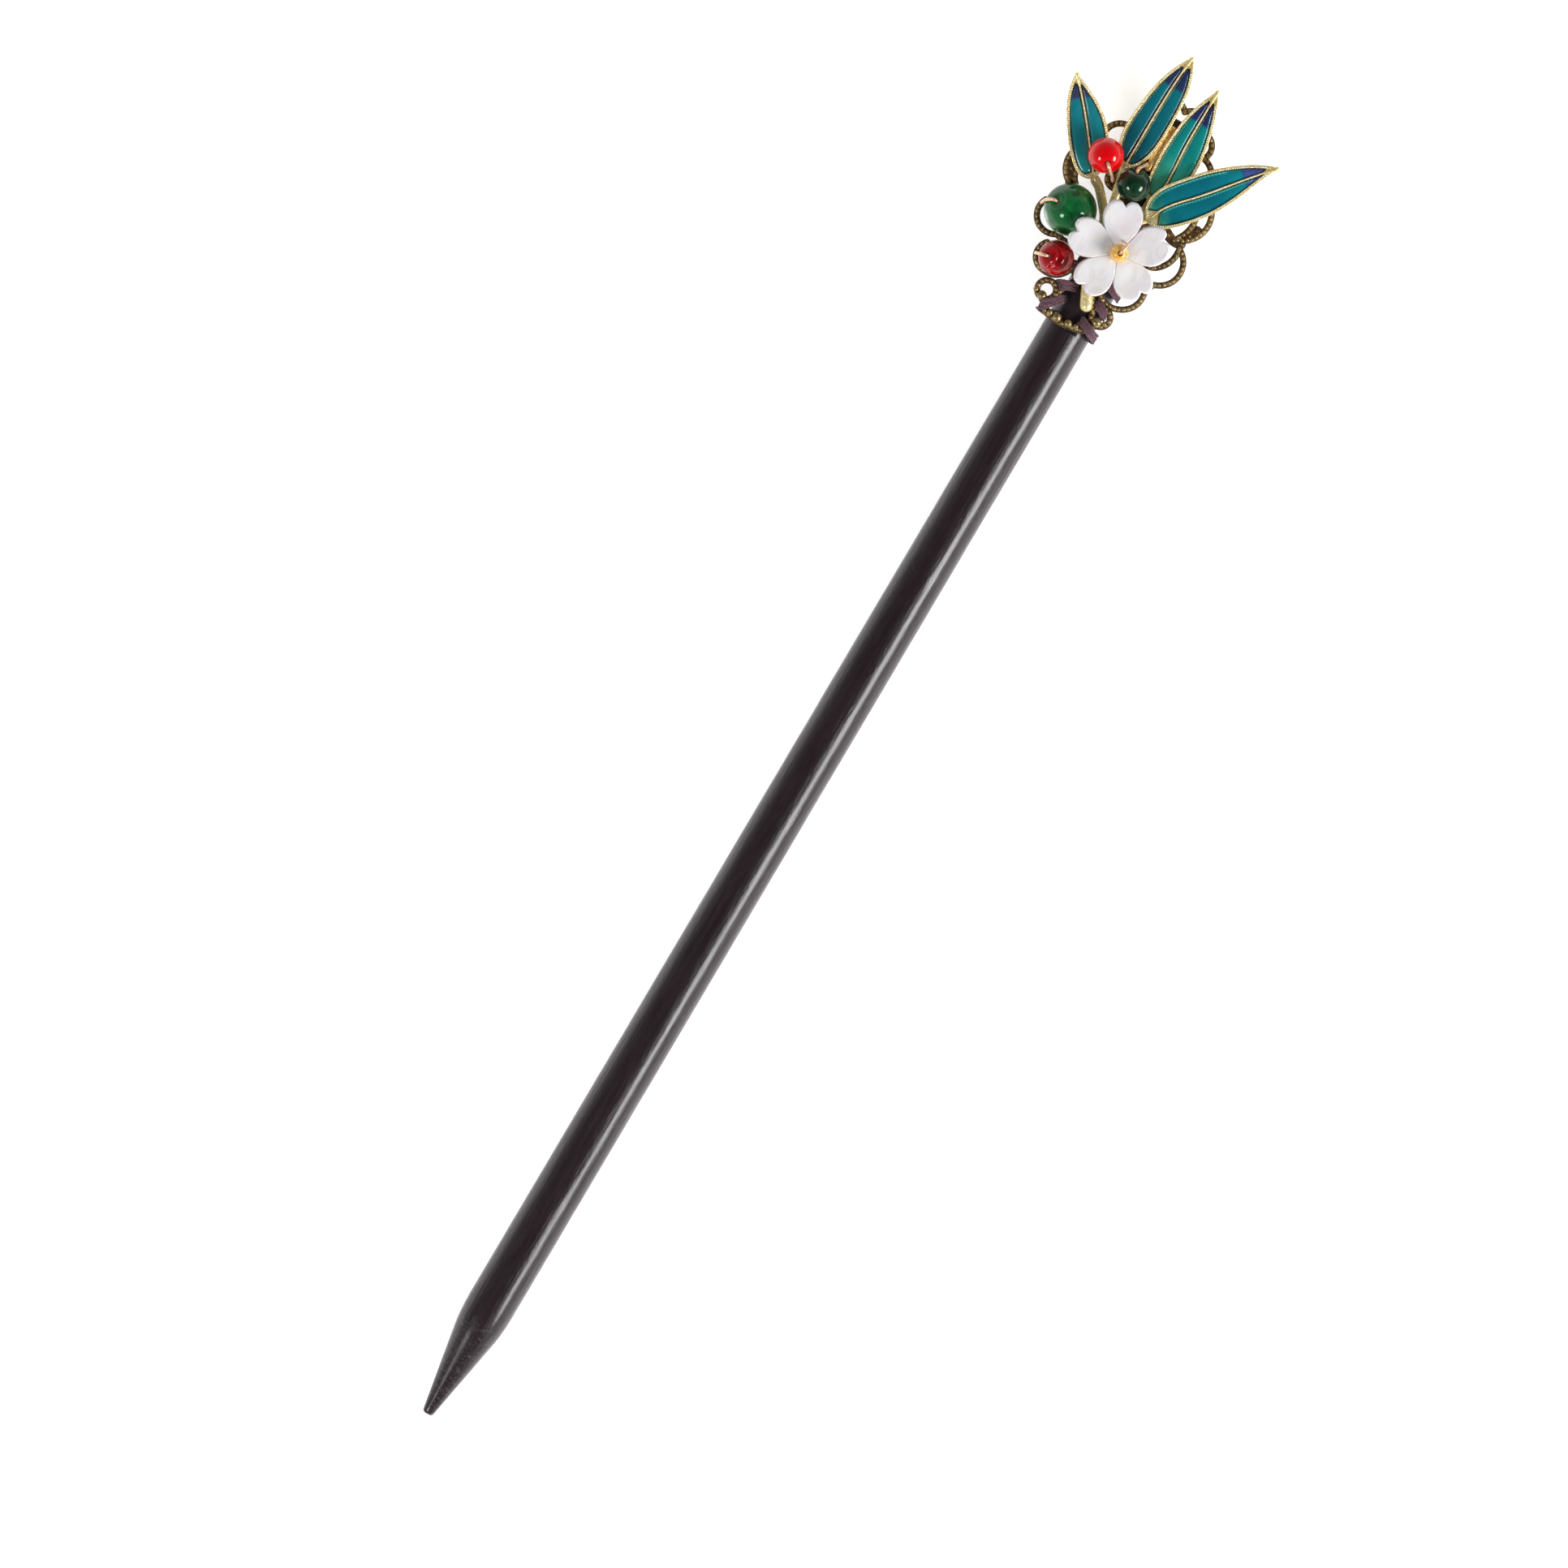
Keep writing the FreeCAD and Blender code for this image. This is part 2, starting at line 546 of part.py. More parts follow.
def petal(angle):
    """One notched petal with a dished face, about the flower's centre."""
    middle, notch = Vector(0, 0, 0), Vector(PETAL_NOTCH, 0, 0)
    edges = []
    for side in (-1, 1):
        seam = Vector(PETAL_SEAM_END, side * PETAL_SEAM_END * math.tan(math.pi / PETALS), 0)
        widest = Vector(PETAL_WIDEST, side * PETAL_HALF_WIDTH, 0)
        shoulder = Vector(PETAL_SHOULDER[0], side * PETAL_SHOULDER[1], 0)
        lobe = Vector(PETAL_LOBE[0], side * PETAL_LOBE[1], 0)
        edges.append(Part.LineSegment(middle, seam).toShape())
        edges.append(Part.Arc(seam, widest, shoulder).toShape())
        edges.append(Part.Arc(shoulder, lobe, notch).toShape())
    solid = prism(Part.__sortEdges__(edges), 0, FLOWER_THICKNESS)
    dish_z = FLOWER_THICKNESS - PETAL_DISH_DEPTH + PETAL_DISH_RADIUS
    solid = solid.cut(Part.makeSphere(PETAL_DISH_RADIUS, Vector(PETAL_DISH_CENTRE, 0, dish_z)))
    solid.rotate(Vector(0, 0, 0), UP, angle)
    return solid


def flower():
    """Five petals carved from one piece of shell, drilled for the centre wire."""
    step = 360.0 / PETALS
    petals = [petal(FIRST_PETAL_ANGLE + step * i) for i in range(PETALS)]
    solid = petals[0].multiFuse(petals[1:]).removeSplitter()
    for i in range(PETALS):
        groove = Part.makeBox(PETAL_LOBE[0], SEAM_DEPTH, SEAM_DEPTH)
        groove.translate(Vector(0, -SEAM_DEPTH / 2, -SEAM_DEPTH / 2))
        groove.rotate(Vector(0, 0, 0), Vector(1, 0, 0), 45)
        groove.translate(UP * FLOWER_THICKNESS)
        groove.rotate(Vector(0, 0, 0), UP, FIRST_PETAL_ANGLE + step * (i + 0.5))
        solid = solid.cut(groove)
    eye_z = FLOWER_THICKNESS - FLOWER_EYE_DEPTH + FLOWER_EYE_RADIUS
    solid = solid.cut(Part.makeSphere(FLOWER_EYE_RADIUS, Vector(0, 0, eye_z)))
    solid = solid.cut(Part.makeCylinder(FLOWER_HOLE_RADIUS, 2 * FLOWER_THICKNESS))
    return on_flower(solid)


def on_flower(shape):
    """Tilt a shape that is drawn about the flower's centre, and put it in place."""
    shape.rotate(Vector(0, 0, 0), Vector(0, 1, 0), FLOWER_TILT)
    shape.translate(FLOWER_CENTRE)
    return shape


def centre_bead():
    """Seed bead in the flower's eye, drilled for its wire."""
    ball = Part.makeSphere(CENTRE_BEAD_RADIUS, Vector(0, 0, CENTRE_BEAD_Z))
    ball = ball.cut(Part.makeCylinder(HOLE_RADIUS, CENTRE_BEAD_Z + 2 * CENTRE_BEAD_RADIUS))
    return on_flower(ball).cut(centre_wire(BEAD_WIRE_RADIUS + GAP))


def centre_wire(radius=BEAD_WIRE_RADIUS):
    """Wire up through flower and bead, over the bead and down to the petals."""
    depth = FLOWER_CENTRE.z - PLATE_TOP - 2 * GAP - radius
    beside = CENTRE_BEAD_RADIUS + BEAD_WIRE_RADIUS + 2 * GAP
    top = CENTRE_BEAD_Z + CENTRE_BEAD_RADIUS
    route = (
        (0, 0, -depth),
        (0, 0, top + WIRE_STAND_OFF / 2),
        (BEAD_WIRE_RADIUS, beside, top),
        (BEAD_WIRE_RADIUS, beside + GAP, FLOWER_THICKNESS + GAP),
    )
    return on_flower(tube(route, radius, WIRE_BEND))


def strap(stations):
    """Flat thread band through stations of x, y, z and half its width, along its way."""
    centres = [Vector(*station[:3]) for station in stations]
    sections = []
    for i, station in enumerate(stations):
        ahead = (centres[min(i + 1, len(centres) - 1)] - centres[max(i - 1, 0)]).normalize()
        flat = Vector(ahead.x, ahead.y, 0)
        level = Vector(1, 0, 0) if flat.Length < 0.3 else flat.normalize()
        across = Vector(-level.y, level.x, 0)
        if across.y < 0:
            across = across * -1
        out = ahead.cross(across).normalize() * (THREAD_THICKNESS / 2)
        side = across * station[3]
        here = centres[i]
        corners = [here + side + out, here + side - out, here - side - out, here - side + out]
        sections.append(Part.makePolygon(corners + corners[:1]))
    return Part.makeLoft(sections, True, True)


def lashing(row, room):
    """One turn of thread: round the stick's back and over the plate on both sides."""
    half = THREAD_WIDTH / 2
    first_y, last_y = row["back"] - half, row["back"] + half
    outer_radius = LASHING_RADIUS + THREAD_THICKNESS
    start, along = Vector(0, first_y, AXIS_Z), Vector(0, 1, 0)
    outer = Part.makeCylinder(outer_radius, THREAD_WIDTH, start, along)
    inner = Part.makeCylinder(LASHING_RADIUS, THREAD_WIDTH, start, along)
    reach = 2 * outer_radius
    corner_first, corner_last = Vector(-reach, first_y, 0), Vector(reach, last_y, 0)
    outer = outer.common(block(corner_first, corner_last, GAP, FLANK_Z))
    inner = inner.common(block(corner_first, corner_last, NOTCH_Z - GAP, reach))
    turn = outer.cut(inner)
    band = turn.multiFuse([strap(row["left"]), strap(row["right"])])
    rod_room = Part.makeCylinder(LASHING_RADIUS, 3 * reach, start - along * reach, along)
    front = block(Vector(-reach, first_y - reach, 0), Vector(reach, last_y + reach, 0), FLANK_Z, reach)
    return band.cut(rod_room.common(front)).cut(room)


def write(name, shape):
    """Write one piece, moved to the part's origin."""
    solids = shape.Solids
    if len(solids) != 1 or not shape.isValid():
        print("check", name, "solids", len(solids), "valid", shape.isValid())
    solid = solids[0] if len(solids) == 1 else shape
    piece = solid.copy()
    piece.translate(ORIGIN * -1)
    piece.exportStep("parts/" + name + ".step")


def main():
    os.makedirs("parts", exist_ok=True)
    plate = plate_solid()
    room = plate_solid(GAP)
    write("stick", stick())
    write("filigree_base", plate)
    write("leaf_spray", leaf_spray())
    for name, leaf in LEAVES.items():
        for side in ("left", "right"):
            write("enamel_" + name + "_" + side, enamel(leaf, side))
    for name, row in BEADS.items():
        write(name, bead(row))
        write(name + "_wire", bead_wire(row))
    write("shell_flower", flower())
    write("flower_centre_bead", centre_bead())
    write("flower_centre_wire", centre_wire())
    for name, row in LASHINGS.items():
        write(name, lashing(row, room))


main()
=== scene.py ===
import math
import random

import bmesh
import bpy
import numpy as np
from mathutils import Matrix, Vector, noise


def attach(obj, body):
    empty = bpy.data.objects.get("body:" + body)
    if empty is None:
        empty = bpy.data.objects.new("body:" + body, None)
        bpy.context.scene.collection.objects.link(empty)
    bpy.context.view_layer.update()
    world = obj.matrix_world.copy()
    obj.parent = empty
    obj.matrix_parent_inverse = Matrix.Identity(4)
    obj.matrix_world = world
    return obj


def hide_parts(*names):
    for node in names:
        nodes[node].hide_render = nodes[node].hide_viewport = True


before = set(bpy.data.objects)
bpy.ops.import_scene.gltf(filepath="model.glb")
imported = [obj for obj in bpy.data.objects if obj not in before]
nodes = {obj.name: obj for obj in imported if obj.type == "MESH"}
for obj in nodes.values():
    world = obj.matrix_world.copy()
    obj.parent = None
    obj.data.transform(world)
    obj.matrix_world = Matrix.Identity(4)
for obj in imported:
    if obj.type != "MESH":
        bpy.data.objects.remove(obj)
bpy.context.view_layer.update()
scene = bpy.context.scene
random.seed(7)

# Places below are in millimetres, measured from the stick's point on its axis, as the part's are
MM = 0.001
ORIGIN = Vector((-1.45, 94.8, 0.0))
UP = Vector((0.0, 0.0, 1.0))

STICK_RADIUS = 3.0
AXIS_Z = math.sqrt(STICK_RADIUS ** 2 - 1.3 ** 2)
SEAT_Z = AXIS_Z + math.sqrt(STICK_RADIUS ** 2 - 1.2 ** 2)
SEAT_START_Y = 152.95
STICK_LAST_Y = 182.0
# Stations of the stick's point and cone, each a place along it and its radius
STICK_PROFILE = (
    (0.2, 0.42), (0.32, 0.62), (0.5, 0.72), (11.0, 2.6), (11.8, 2.74), (13.0, 2.89), (14.2, 2.97),
)
SHANK_START_Y = 15.5
STATION_PITCH = 0.6
NOTCH_YS = (153.9, 157.0, 160.0)
NOTCH_HALF = 0.65
NOTCH_Z = 0.5
PLATE_THICKNESS = 0.8
PLATE_LOW = SEAT_Z + 0.05
PLATE_TOP = PLATE_LOW + PLATE_THICKNESS
LEAF_LOW = PLATE_TOP + 0.1
UPPER_LEAF_LOW = LEAF_LOW + 1.2
LEAF_THICKNESS = 1.1
LEAF_LIFT = 4.0

# Plate wires, each an arc: start x, y, middle x, y, end x, y
LEFT_WIRES = (
    (-4.0, 155.0, -3.7, 154.0, -2.9, 153.6),
    (-3.35, 156.1, -2.9, 157.4, -2.1, 158.95),
    (-7.5, 161.1, -7.95, 159.2, -6.2, 157.92),
    (-6.2, 157.92, -4.4, 158.35, -3.4, 159.8),
    (-10.27, 165.5, -9.92, 162.8, -7.0, 162.5),
    (-7.0, 162.5, -5.0, 162.4, -3.2, 163.4),
    (-10.15, 172.9, -10.4, 170.6, -9.0, 168.75),
    (-8.1, 168.9, -8.8, 169.9, -8.6, 171.7),
    (-8.6, 171.7, -7.2, 173.1, -5.0, 172.6),
    (-10.15, 172.9, -9.4, 174.6, -8.0, 175.1),
    (-8.0, 175.1, -7.5, 177.8, -5.9, 178.25),
    (-5.9, 178.25, -4.6, 178.1, -3.1, 177.0),
    (-4.9, 182.2, -5.8, 180.6, -5.6, 178.2),
    (-1.15, 183.15, -3.1, 183.9, -4.9, 182.2),
    (-2.9, 176.6, -3.4, 180.0, -3.1, 183.7),
    (-3.1, 170.2, -4.1, 171.4, -4.2, 173.6),
    (-4.2, 173.6, -3.8, 174.9, -2.9, 175.7),
    (-4.0, 170.8, -5.05, 171.3, -5.0, 172.6),
)
RIGHT_WIRES = (
    (0.9, 153.8, 1.9, 154.25, 2.35, 155.2),
    (1.55, 156.7, 0.8, 157.8, 0.1, 159.0),
    (1.4, 158.75, 2.8, 158.2, 4.1, 158.45),
    (4.1, 158.45, 5.45, 159.55, 5.75, 161.9),
    (5.75, 161.9, 6.0, 162.6, 6.3, 163.2),
    (6.3, 163.2, 8.33, 165.7, 6.75, 168.5),
    (6.75, 168.2, 6.4, 166.2, 5.2, 164.95),
    (5.2, 164.95, 3.4, 164.8, 1.5, 165.7),
    (7.7, 174.6, 8.3, 172.3, 6.0, 169.3),
    (6.0, 169.7, 6.65, 171.6, 6.3, 173.6),
    (6.3, 173.6, 4.6, 175.2, 1.5, 174.9),
    (7.7, 174.6, 7.1, 176.0, 5.75, 176.7),
    (5.75, 176.7, 5.0, 178.85, 3.7, 179.45),
    (3.7, 179.45, 3.92, 180.95, 2.75, 182.1),
    (-1.15, 183.15, 0.85, 183.95, 2.75, 182.1),
    (0.7, 176.6, 1.3, 180.0, 0.9, 183.8),
    (3.7, 179.45, 2.4, 179.3, 1.2, 178.6),
)
BOTTOM_WIRE = (-2.9, 153.6, -1.0, 153.45, 0.9, 153.8)
JUNCTION_WIRES = (
    (4.7, 169.3, 5.5, 169.0, 6.6, 169.1),
    (4.7, 169.3, 3.2, 169.7, 1.5, 169.2),
    (6.2, 169.6, 7.0, 170.4, 7.45, 171.5),
    (-9.8, 171.4, -9.55, 170.2, -8.75, 169.3),
)
NEST_WIRES = (
    (-9.85, 166.8, -7.1, 168.75, -4.35, 166.8),
    (-10.1, 165.4, -10.0, 166.2, -9.8, 166.9),
    (-4.35, 166.8, -3.9, 165.7, -3.1, 165.2),
    (-9.3, 168.9, -8.6, 168.35, -7.9, 168.65),
)
# Half width of each group of wires, and the pitch and size of its granules
WIRE_GROUPS = (
    (LEFT_WIRES + RIGHT_WIRES + (BOTTOM_WIRE,), 0.4, 0.6, 0.24),
    (JUNCTION_WIRES, 0.64, 1.3, 0.16),
    (NEST_WIRES, 0.27, 0.5, 0.17),
)
# Rings and raised balls: x, y, radius
RINGS = ((-4.65, 156.1, 1.15), (2.75, 156.5, 1.15))
RING_WIRE_HALF = 0.4
RING_GRANULE = 0.225
GRANULE_SINK = 0.06
BALLS = (
    (-5.8, 155.5, 0.35), (-4.8, 155.2, 0.6), (-2.9, 153.9, 0.4), (-1.85, 153.8, 0.6),
    (-0.3, 153.85, 0.5), (0.7, 154.0, 0.35), (2.6, 155.7, 0.65), (3.5, 156.0, 0.3),
    (3.85, 156.55, 0.3), (3.7, 157.2, 0.3),
)
# The plate's middle: first corner, last corner, and its holes in a row
CORE = (-3.3, 158.8, 1.6, 177.0)
CORE_CORNER = 1.2
CORE_HOLE_RADIUS = 1.2
CORE_HOLE_X = -0.75
CORE_HOLES_Y = (160.9, 167.6, 171.2, 174.7)

LEAVES = {
    "leaf1": {
        "base": (-6.6, 170.6), "tip": (-14.95, 180.6), "low": LEAF_LOW,
        "left": ((-8.0, 170.1), (-10.2, 171.4), (-12.75, 174.6), (-14.62, 178.3)),
        "right": ((-6.3, 172.4), (-6.9, 174.6), (-9.6, 177.9), (-12.5, 179.6)),
        "rib": ((-9.0, 173.7), (-11.6, 176.9)),
        "ranges": ((0.08, 0.92), (0.08, 0.88), (0.06, 0.89)),
    },
    "leaf2": {
        "base": (-4.1, 173.3), "tip": (-3.7, 189.4), "low": LEAF_LOW,
        "left": ((-5.4, 174.6), (-6.4, 177.0), (-6.45, 180.0), (-6.0, 183.7), (-4.9, 187.3)),
        "right": ((-2.7, 174.8), (-2.0, 176.5), (-1.7, 179.5), (-1.75, 183.0), (-2.6, 187.5)),
        "rib": ((-4.1, 176.5), (-4.1, 180.0), (-4.0, 185.0)),
        "ranges": ((0.08, 0.90), (0.08, 0.92), (0.06, 0.90)),
    },
    "leaf3": {
        "base": (0.8, 171.0), "tip": (1.05, 187.5), "low": LEAF_LOW,
        "left": ((-0.4, 172.7), (-1.0, 175.0), (-1.1, 179.0), (-0.8, 182.2), (0.1, 185.4)),
        "right": ((2.4, 172.3), (3.4, 174.6), (3.7, 178.0), (3.1, 182.0), (2.1, 185.2)),
        "rib": ((1.35, 174.8), (1.1, 179.0), (1.05, 183.0)),
        "ranges": ((0.09, 0.90), (0.09, 0.90), (0.08, 0.90)),
    },
    "leaf4": {
        "base": (1.6, 169.3), "tip": (12.25, 183.1), "low": UPPER_LEAF_LOW,
        "left": ((0.6, 170.9), (0.8, 173.0), (2.5, 175.6), (5.0, 178.4), (8.0, 180.9), (10.6, 182.45)),
        "right": ((3.0, 169.25), (5.2, 170.7), (7.4, 173.2), (9.5, 176.8), (11.2, 180.9)),
        "rib": ((2.9, 172.1), (5.0, 174.5), (9.0, 179.3)),
        "ranges": ((0.07, 0.92), (0.08, 0.87), (0.1, 0.89)),
    },
}

BEADS = {
    "red_bead_upper": ((-6.7, 173.6, 10.0), 2.2, (0.7, -0.8)),
    "red_bead_lower": ((-5.6, 159.9, PLATE_TOP + 2.25), 2.2, (-1.1, -0.4)),
    "green_bead_large": ((-7.1, 165.8, 8.35), 3.25, (-2.1, 0.0)),
    "green_bead_small": ((-2.0, 172.25, 9.35), 2.1, (-0.45, 1.6)),
}
HOLE_RADIUS = 0.36

FLOWER_CENTRE = Vector((0.37, 164.1, 10.4))
FLOWER_TILT = 8.0
FLOWER_THICKNESS = 1.5
FIRST_PETAL_ANGLE = 40.0
CENTRE_BEAD_RADIUS = 1.15
CENTRE_BEAD_Z = FLOWER_THICKNESS - 0.4 + CENTRE_BEAD_RADIUS + 0.05

OVER_Z = PLATE_TOP + 0.05 + 0.2
HIGH_Z = OVER_Z + 0.1
LASHINGS = {
    "thread_lashing_low": (
        153.9,
        ((-3.9, 154.0, 4.6), (-4.4, 154.15, 5.8), (-4.0, 154.5, HIGH_Z), (-3.2, 155.2, HIGH_Z),
         (-2.6, 155.85, OVER_Z - 0.2), (-2.35, 156.15, 5.5)),
        ((3.55, 153.9, 4.2), (3.2, 154.0, 5.7), (2.4, 154.3, HIGH_Z), (1.5, 154.75, OVER_Z),
         (1.0, 154.95, OVER_Z - 0.4), (0.85, 155.0, 5.75)),
    ),
    "thread_lashing_middle": (
        157.0,
        ((-3.7, 157.1, 4.6), (-3.8, 157.3, 5.9), (-3.3, 157.6, HIGH_Z), (-2.4, 157.9, HIGH_Z),
         (-1.75, 158.1, OVER_Z - 0.3), (-1.6, 158.15, 5.8)),
        ((3.2, 156.9, 4.6), (3.05, 156.85, 5.8), (2.75, 157.05, HIGH_Z), (2.1, 157.55, HIGH_Z),
         (1.55, 157.9, OVER_Z - 0.3), (1.4, 158.0, 5.8)),
    ),
    "thread_lashing_upper": (
        160.0,
        ((-3.8, 160.1, 4.6), (-4.0, 160.2, 5.8), (-3.4, 160.4, HIGH_Z), (-2.8, 160.55, OVER_Z),
         (-2.3, 160.65, OVER_Z)),
        ((3.5, 159.7, 4.6), (3.4, 159.7, 5.9), (2.8, 159.9, HIGH_Z), (1.4, 160.4, HIGH_Z),
         (0.55, 160.7, OVER_Z - 0.1), (0.25, 160.8, 5.8)),
    ),
}


# Meshes

class Shell:
    """Points in millimetres and faces, gathered before they become one mesh."""

    def __init__(self):
        self.points = []
        self.faces = []
        self.paint = {}

    def add(self, points, faces):
        start = len(self.points)
        self.points += [Vector(point) for point in points]
        self.faces += [tuple(start + i for i in face) for face in faces]

    def painted(self, name, values):
        """Value from 0 to 1 for each of the latest points, for the material to read."""
        kept = self.paint.setdefault(name, [])
        kept += [0.0] * (len(self.points) - len(values) - len(kept))
        kept += values

    def grid(self, rows, close_rows=False, close_columns=False):
        """Quads between rows of points; rows or columns can close on themselves."""
        across = len(rows[0])
        faces = []
        for i in range(len(rows) - (0 if close_rows else 1)):
            for j in range(across - (0 if close_columns else 1)):
                k, m = (i + 1) % len(rows), (j + 1) % across
                faces.append((i * across + j, i * across + m, k * across + m, k * across + j))
        self.add([point for row in rows for point in row], faces)

    def lid(self, row, centre):
        """Fan from a row of points, closed on itself, to a centre."""
        count = len(row)
        self.add(list(row) + [centre], [(i, (i + 1) % count, count) for i in range(count)])

    def change(self, matrix):
        self.points = [matrix @ point for point in self.points]

    def piece(self, name, material, slot, replaced=(), sharp=None, weld=0.0):
        mesh = bpy.data.meshes.new(name)
        mesh.from_pydata([(point - ORIGIN) * MM for point in self.points], [], self.faces)
        for paint, values in self.paint.items():
            values += [0.0] * (len(self.points) - len(values))
            mesh.attributes.new(paint, "FLOAT", "POINT").data.foreach_set("value", values)
        work = bmesh.new()
        work.from_mesh(mesh)
        if weld:
            bmesh.ops.remove_doubles(work, verts=work.verts, dist=weld * MM)
        bmesh.ops.recalc_face_normals(work, faces=work.faces)
        work.to_mesh(mesh)
        work.free()
        mesh.shade_smooth()
        if sharp is not None:
            mesh.set_sharp_from_angle(angle=math.radians(sharp))
        mesh.materials.append(material)
        made = bpy.data.objects.new(name, mesh)
        scene.collection.objects.link(made)
        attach(made, "root")
        if replaced:
            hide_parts(*replaced)


def ball_shell(detail):
    """Unit ball of even triangles."""
    work = bmesh.new()
    bmesh.ops.create_icosphere(work, subdivisions=detail, radius=1.0)
    points = [vert.co.copy() for vert in work.verts]
    faces = [tuple(vert.index for vert in face.verts) for face in work.faces]
    work.free()
    return points, faces


SMALL_BALL = ball_shell(2)
LARGE_BALL = ball_shell(4)


def add_ball(shell, place, radius, template=None, flat=1.0, way=None, stretch=1.0):
    """Ball, flattened in height and stretched along a flat way."""
    points, faces = template or SMALL_BALL
    if way is None:
        way = Vector((1.0, 0.0, 0.0))
    side = Vector((-way.y, way.x, 0.0))
    shell.add([Vector(place) + (way * (p.x * stretch) + side * p.y + UP * (p.z * flat)) * radius
               for p in points], faces)


def natural_spline(points, count, first=0.0, last=1.0):
    """Points at even steps along the smooth curve through the given ones."""
    known = np.array([tuple(point) for point in points], float)
    steps = np.linalg.norm(np.diff(known, axis=0), axis=1)
    knots = np.concatenate([[0.0], np.cumsum(steps)])
    size = len(known)
    system = np.eye(size)
    right = np.zeros_like(known)
    for i in range(1, size - 1):
        before, after = steps[i - 1], steps[i]
        system[i, i - 1:i + 2] = before, 2 * (before + after), after
        right[i] = 6 * ((known[i + 1] - known[i]) / after - (known[i] - known[i - 1]) / before)
    bends = np.linalg.solve(system, right)
    found = []
    for share in np.linspace(first, last, count):
        place = share * knots[-1]
        i = min(max(int(np.searchsorted(knots, place) - 1), 0), size - 2)
        a, b, h = place - knots[i], knots[i + 1] - place, steps[i]
        found.append(
            (bends[i] * b ** 3 + bends[i + 1] * a ** 3) / (6 * h)
            + (known[i] / h - bends[i] * h / 6) * b + (known[i + 1] / h - bends[i + 1] * h / 6) * a
        )
    return [Vector(tuple(place)) for place in found]


def even(points, pitch):
    """Places at an even pitch along a line of points, with the way that it runs."""
    lengths = [(b - a).length for a, b in zip(points, points[1:])]
    total = sum(lengths)
    count = max(2, round(total / pitch) + 1)
    found = []
    i, gone = 0, 0.0
    for step in range(count):
        place = total * step / (count - 1)
        while i < len(lengths) - 1 and gone + lengths[i] < place:
            gone += lengths[i]
            i += 1
        share = (place - gone) / lengths[i] if lengths[i] else 0.0
        way = (points[i + 1] - points[i]).normalized()
        found.append((points[i].lerp(points[i + 1], share), way))
    return found


def ahead_at(points, i):
    """Way that a line runs at one of its points."""
    return (points[min(i + 1, len(points) - 1)] - points[max(i - 1, 0)]).normalized()


def beside(points, distance):
    """Line beside a flat line of points; a positive distance lies to its left."""
    found = []
    for i, point in enumerate(points):
        ahead = ahead_at(points, i)
        found.append(point + Vector((-ahead.y, ahead.x, 0.0)) * distance)
    return found


def arc_points(row, count):
    """Even points along the arc through three plan points."""
    a, b, c = (Vector((row[i], row[i + 1], 0.0)) for i in (0, 2, 4))
    ab, ac = b - a, c - a
    turn = 2 * (ab.x * ac.y - ab.y * ac.x)
    x = (ac.y * ab.length_squared - ab.y * ac.length_squared) / turn
    y = (ab.x * ac.length_squared - ac.x * ab.length_squared) / turn
    centre, radius = a + Vector((x, y, 0.0)), math.hypot(x, y)
    angles = [math.atan2(p.y - centre.y, p.x - centre.x) for p in (a, b, c)]
    way = 1 if turn > 0 else -1
    sweep = (angles[2] - angles[0]) * way % (2 * math.pi)
    return [
        centre + Vector((math.cos(t), math.sin(t), 0.0)) * radius
        for t in (angles[0] + way * sweep * i / (count - 1) for i in range(count))
    ]


# Below 1 these powers fill out the corners of a round section
SECTION_SIDE_POWER, SECTION_TOP_POWER = 0.6, 0.7


def round_section(half, low, high, count=14):
    """Section of a cast wire: flat below, with a rounded top."""
    middle, rise = (low + high) / 2, (high - low) / 2
    section = []
    for i in range(count):
        t = 2 * math.pi * i / count
        side, up = math.cos(t), math.sin(t)
        across = math.copysign(abs(side) ** SECTION_SIDE_POWER, side) * half
        section.append((across, middle + math.copysign(abs(up) ** SECTION_TOP_POWER, up) * rise))
    return section


def flat_sweep(shell, points, section, closed=False):
    """Section carried along a flat line of points."""
    rows = []
    last = len(points) - 1
    for i, point in enumerate(points):
        before = points[i - 1] if closed or i else point
        after = points[(i + 1) % len(points)] if closed or i < last else point
        ahead = (after - before).normalized()
        side = Vector((-ahead.y, ahead.x, 0.0))
        rows.append([point + side * across + UP * height for across, height in section])
    shell.grid(rows, close_rows=closed, close_columns=True)
    if not closed:
        for row in (rows[0], rows[-1]):
            shell.lid(row, sum(row, Vector()) / len(row))


def round_sweep(shell, points, radius, sides=8):
    """Round wire along points in space."""
    ahead = (points[1] - points[0]).normalized()
    side = ahead.orthogonal().normalized()
    rows = []
    for i, point in enumerate(points):
        ahead = ahead_at(points, i)
        side = (side - ahead * side.dot(ahead)).normalized()
        up = ahead.cross(side)
        size = radius(i) if callable(radius) else radius
        rows.append([
            point + (side * math.cos(t) + up * math.sin(t)) * size
            for t in (2 * math.pi * k / sides for k in range(sides))
        ])
    shell.grid(rows, close_columns=True)
    shell.lid(rows[0], points[0])
    shell.lid(rows[-1], points[-1])


# Materials

def rgb(red, green, blue):
    """Linear colour from the usual 0 to 255 values."""
    return tuple(
        v / 12.92 if v <= 0.04045 else ((v + 0.055) / 1.055) ** 2.4
        for v in (red / 255, green / 255, blue / 255)
    ) + (1.0,)


def fill(node, sockets):
    """Values for a node's sockets, with _ for a space in their names."""
    for socket, value in sockets.items():
        node.inputs[socket.replace("_", " ")].default_value = value


def colour_ramp(tree, value, stops):
    """Colours from a value, placed at stops from 0 to 1."""
    node = tree.nodes.new("ShaderNodeValToRGB")
    elements = node.color_ramp.elements
    while len(elements) < len(stops):
        elements.new(0.5)
    for element, (place, colour) in zip(elements, stops):
        element.position = place
        element.color = colour
    tree.links.new(value, node.inputs["Fac"])
    return node.outputs["Color"]


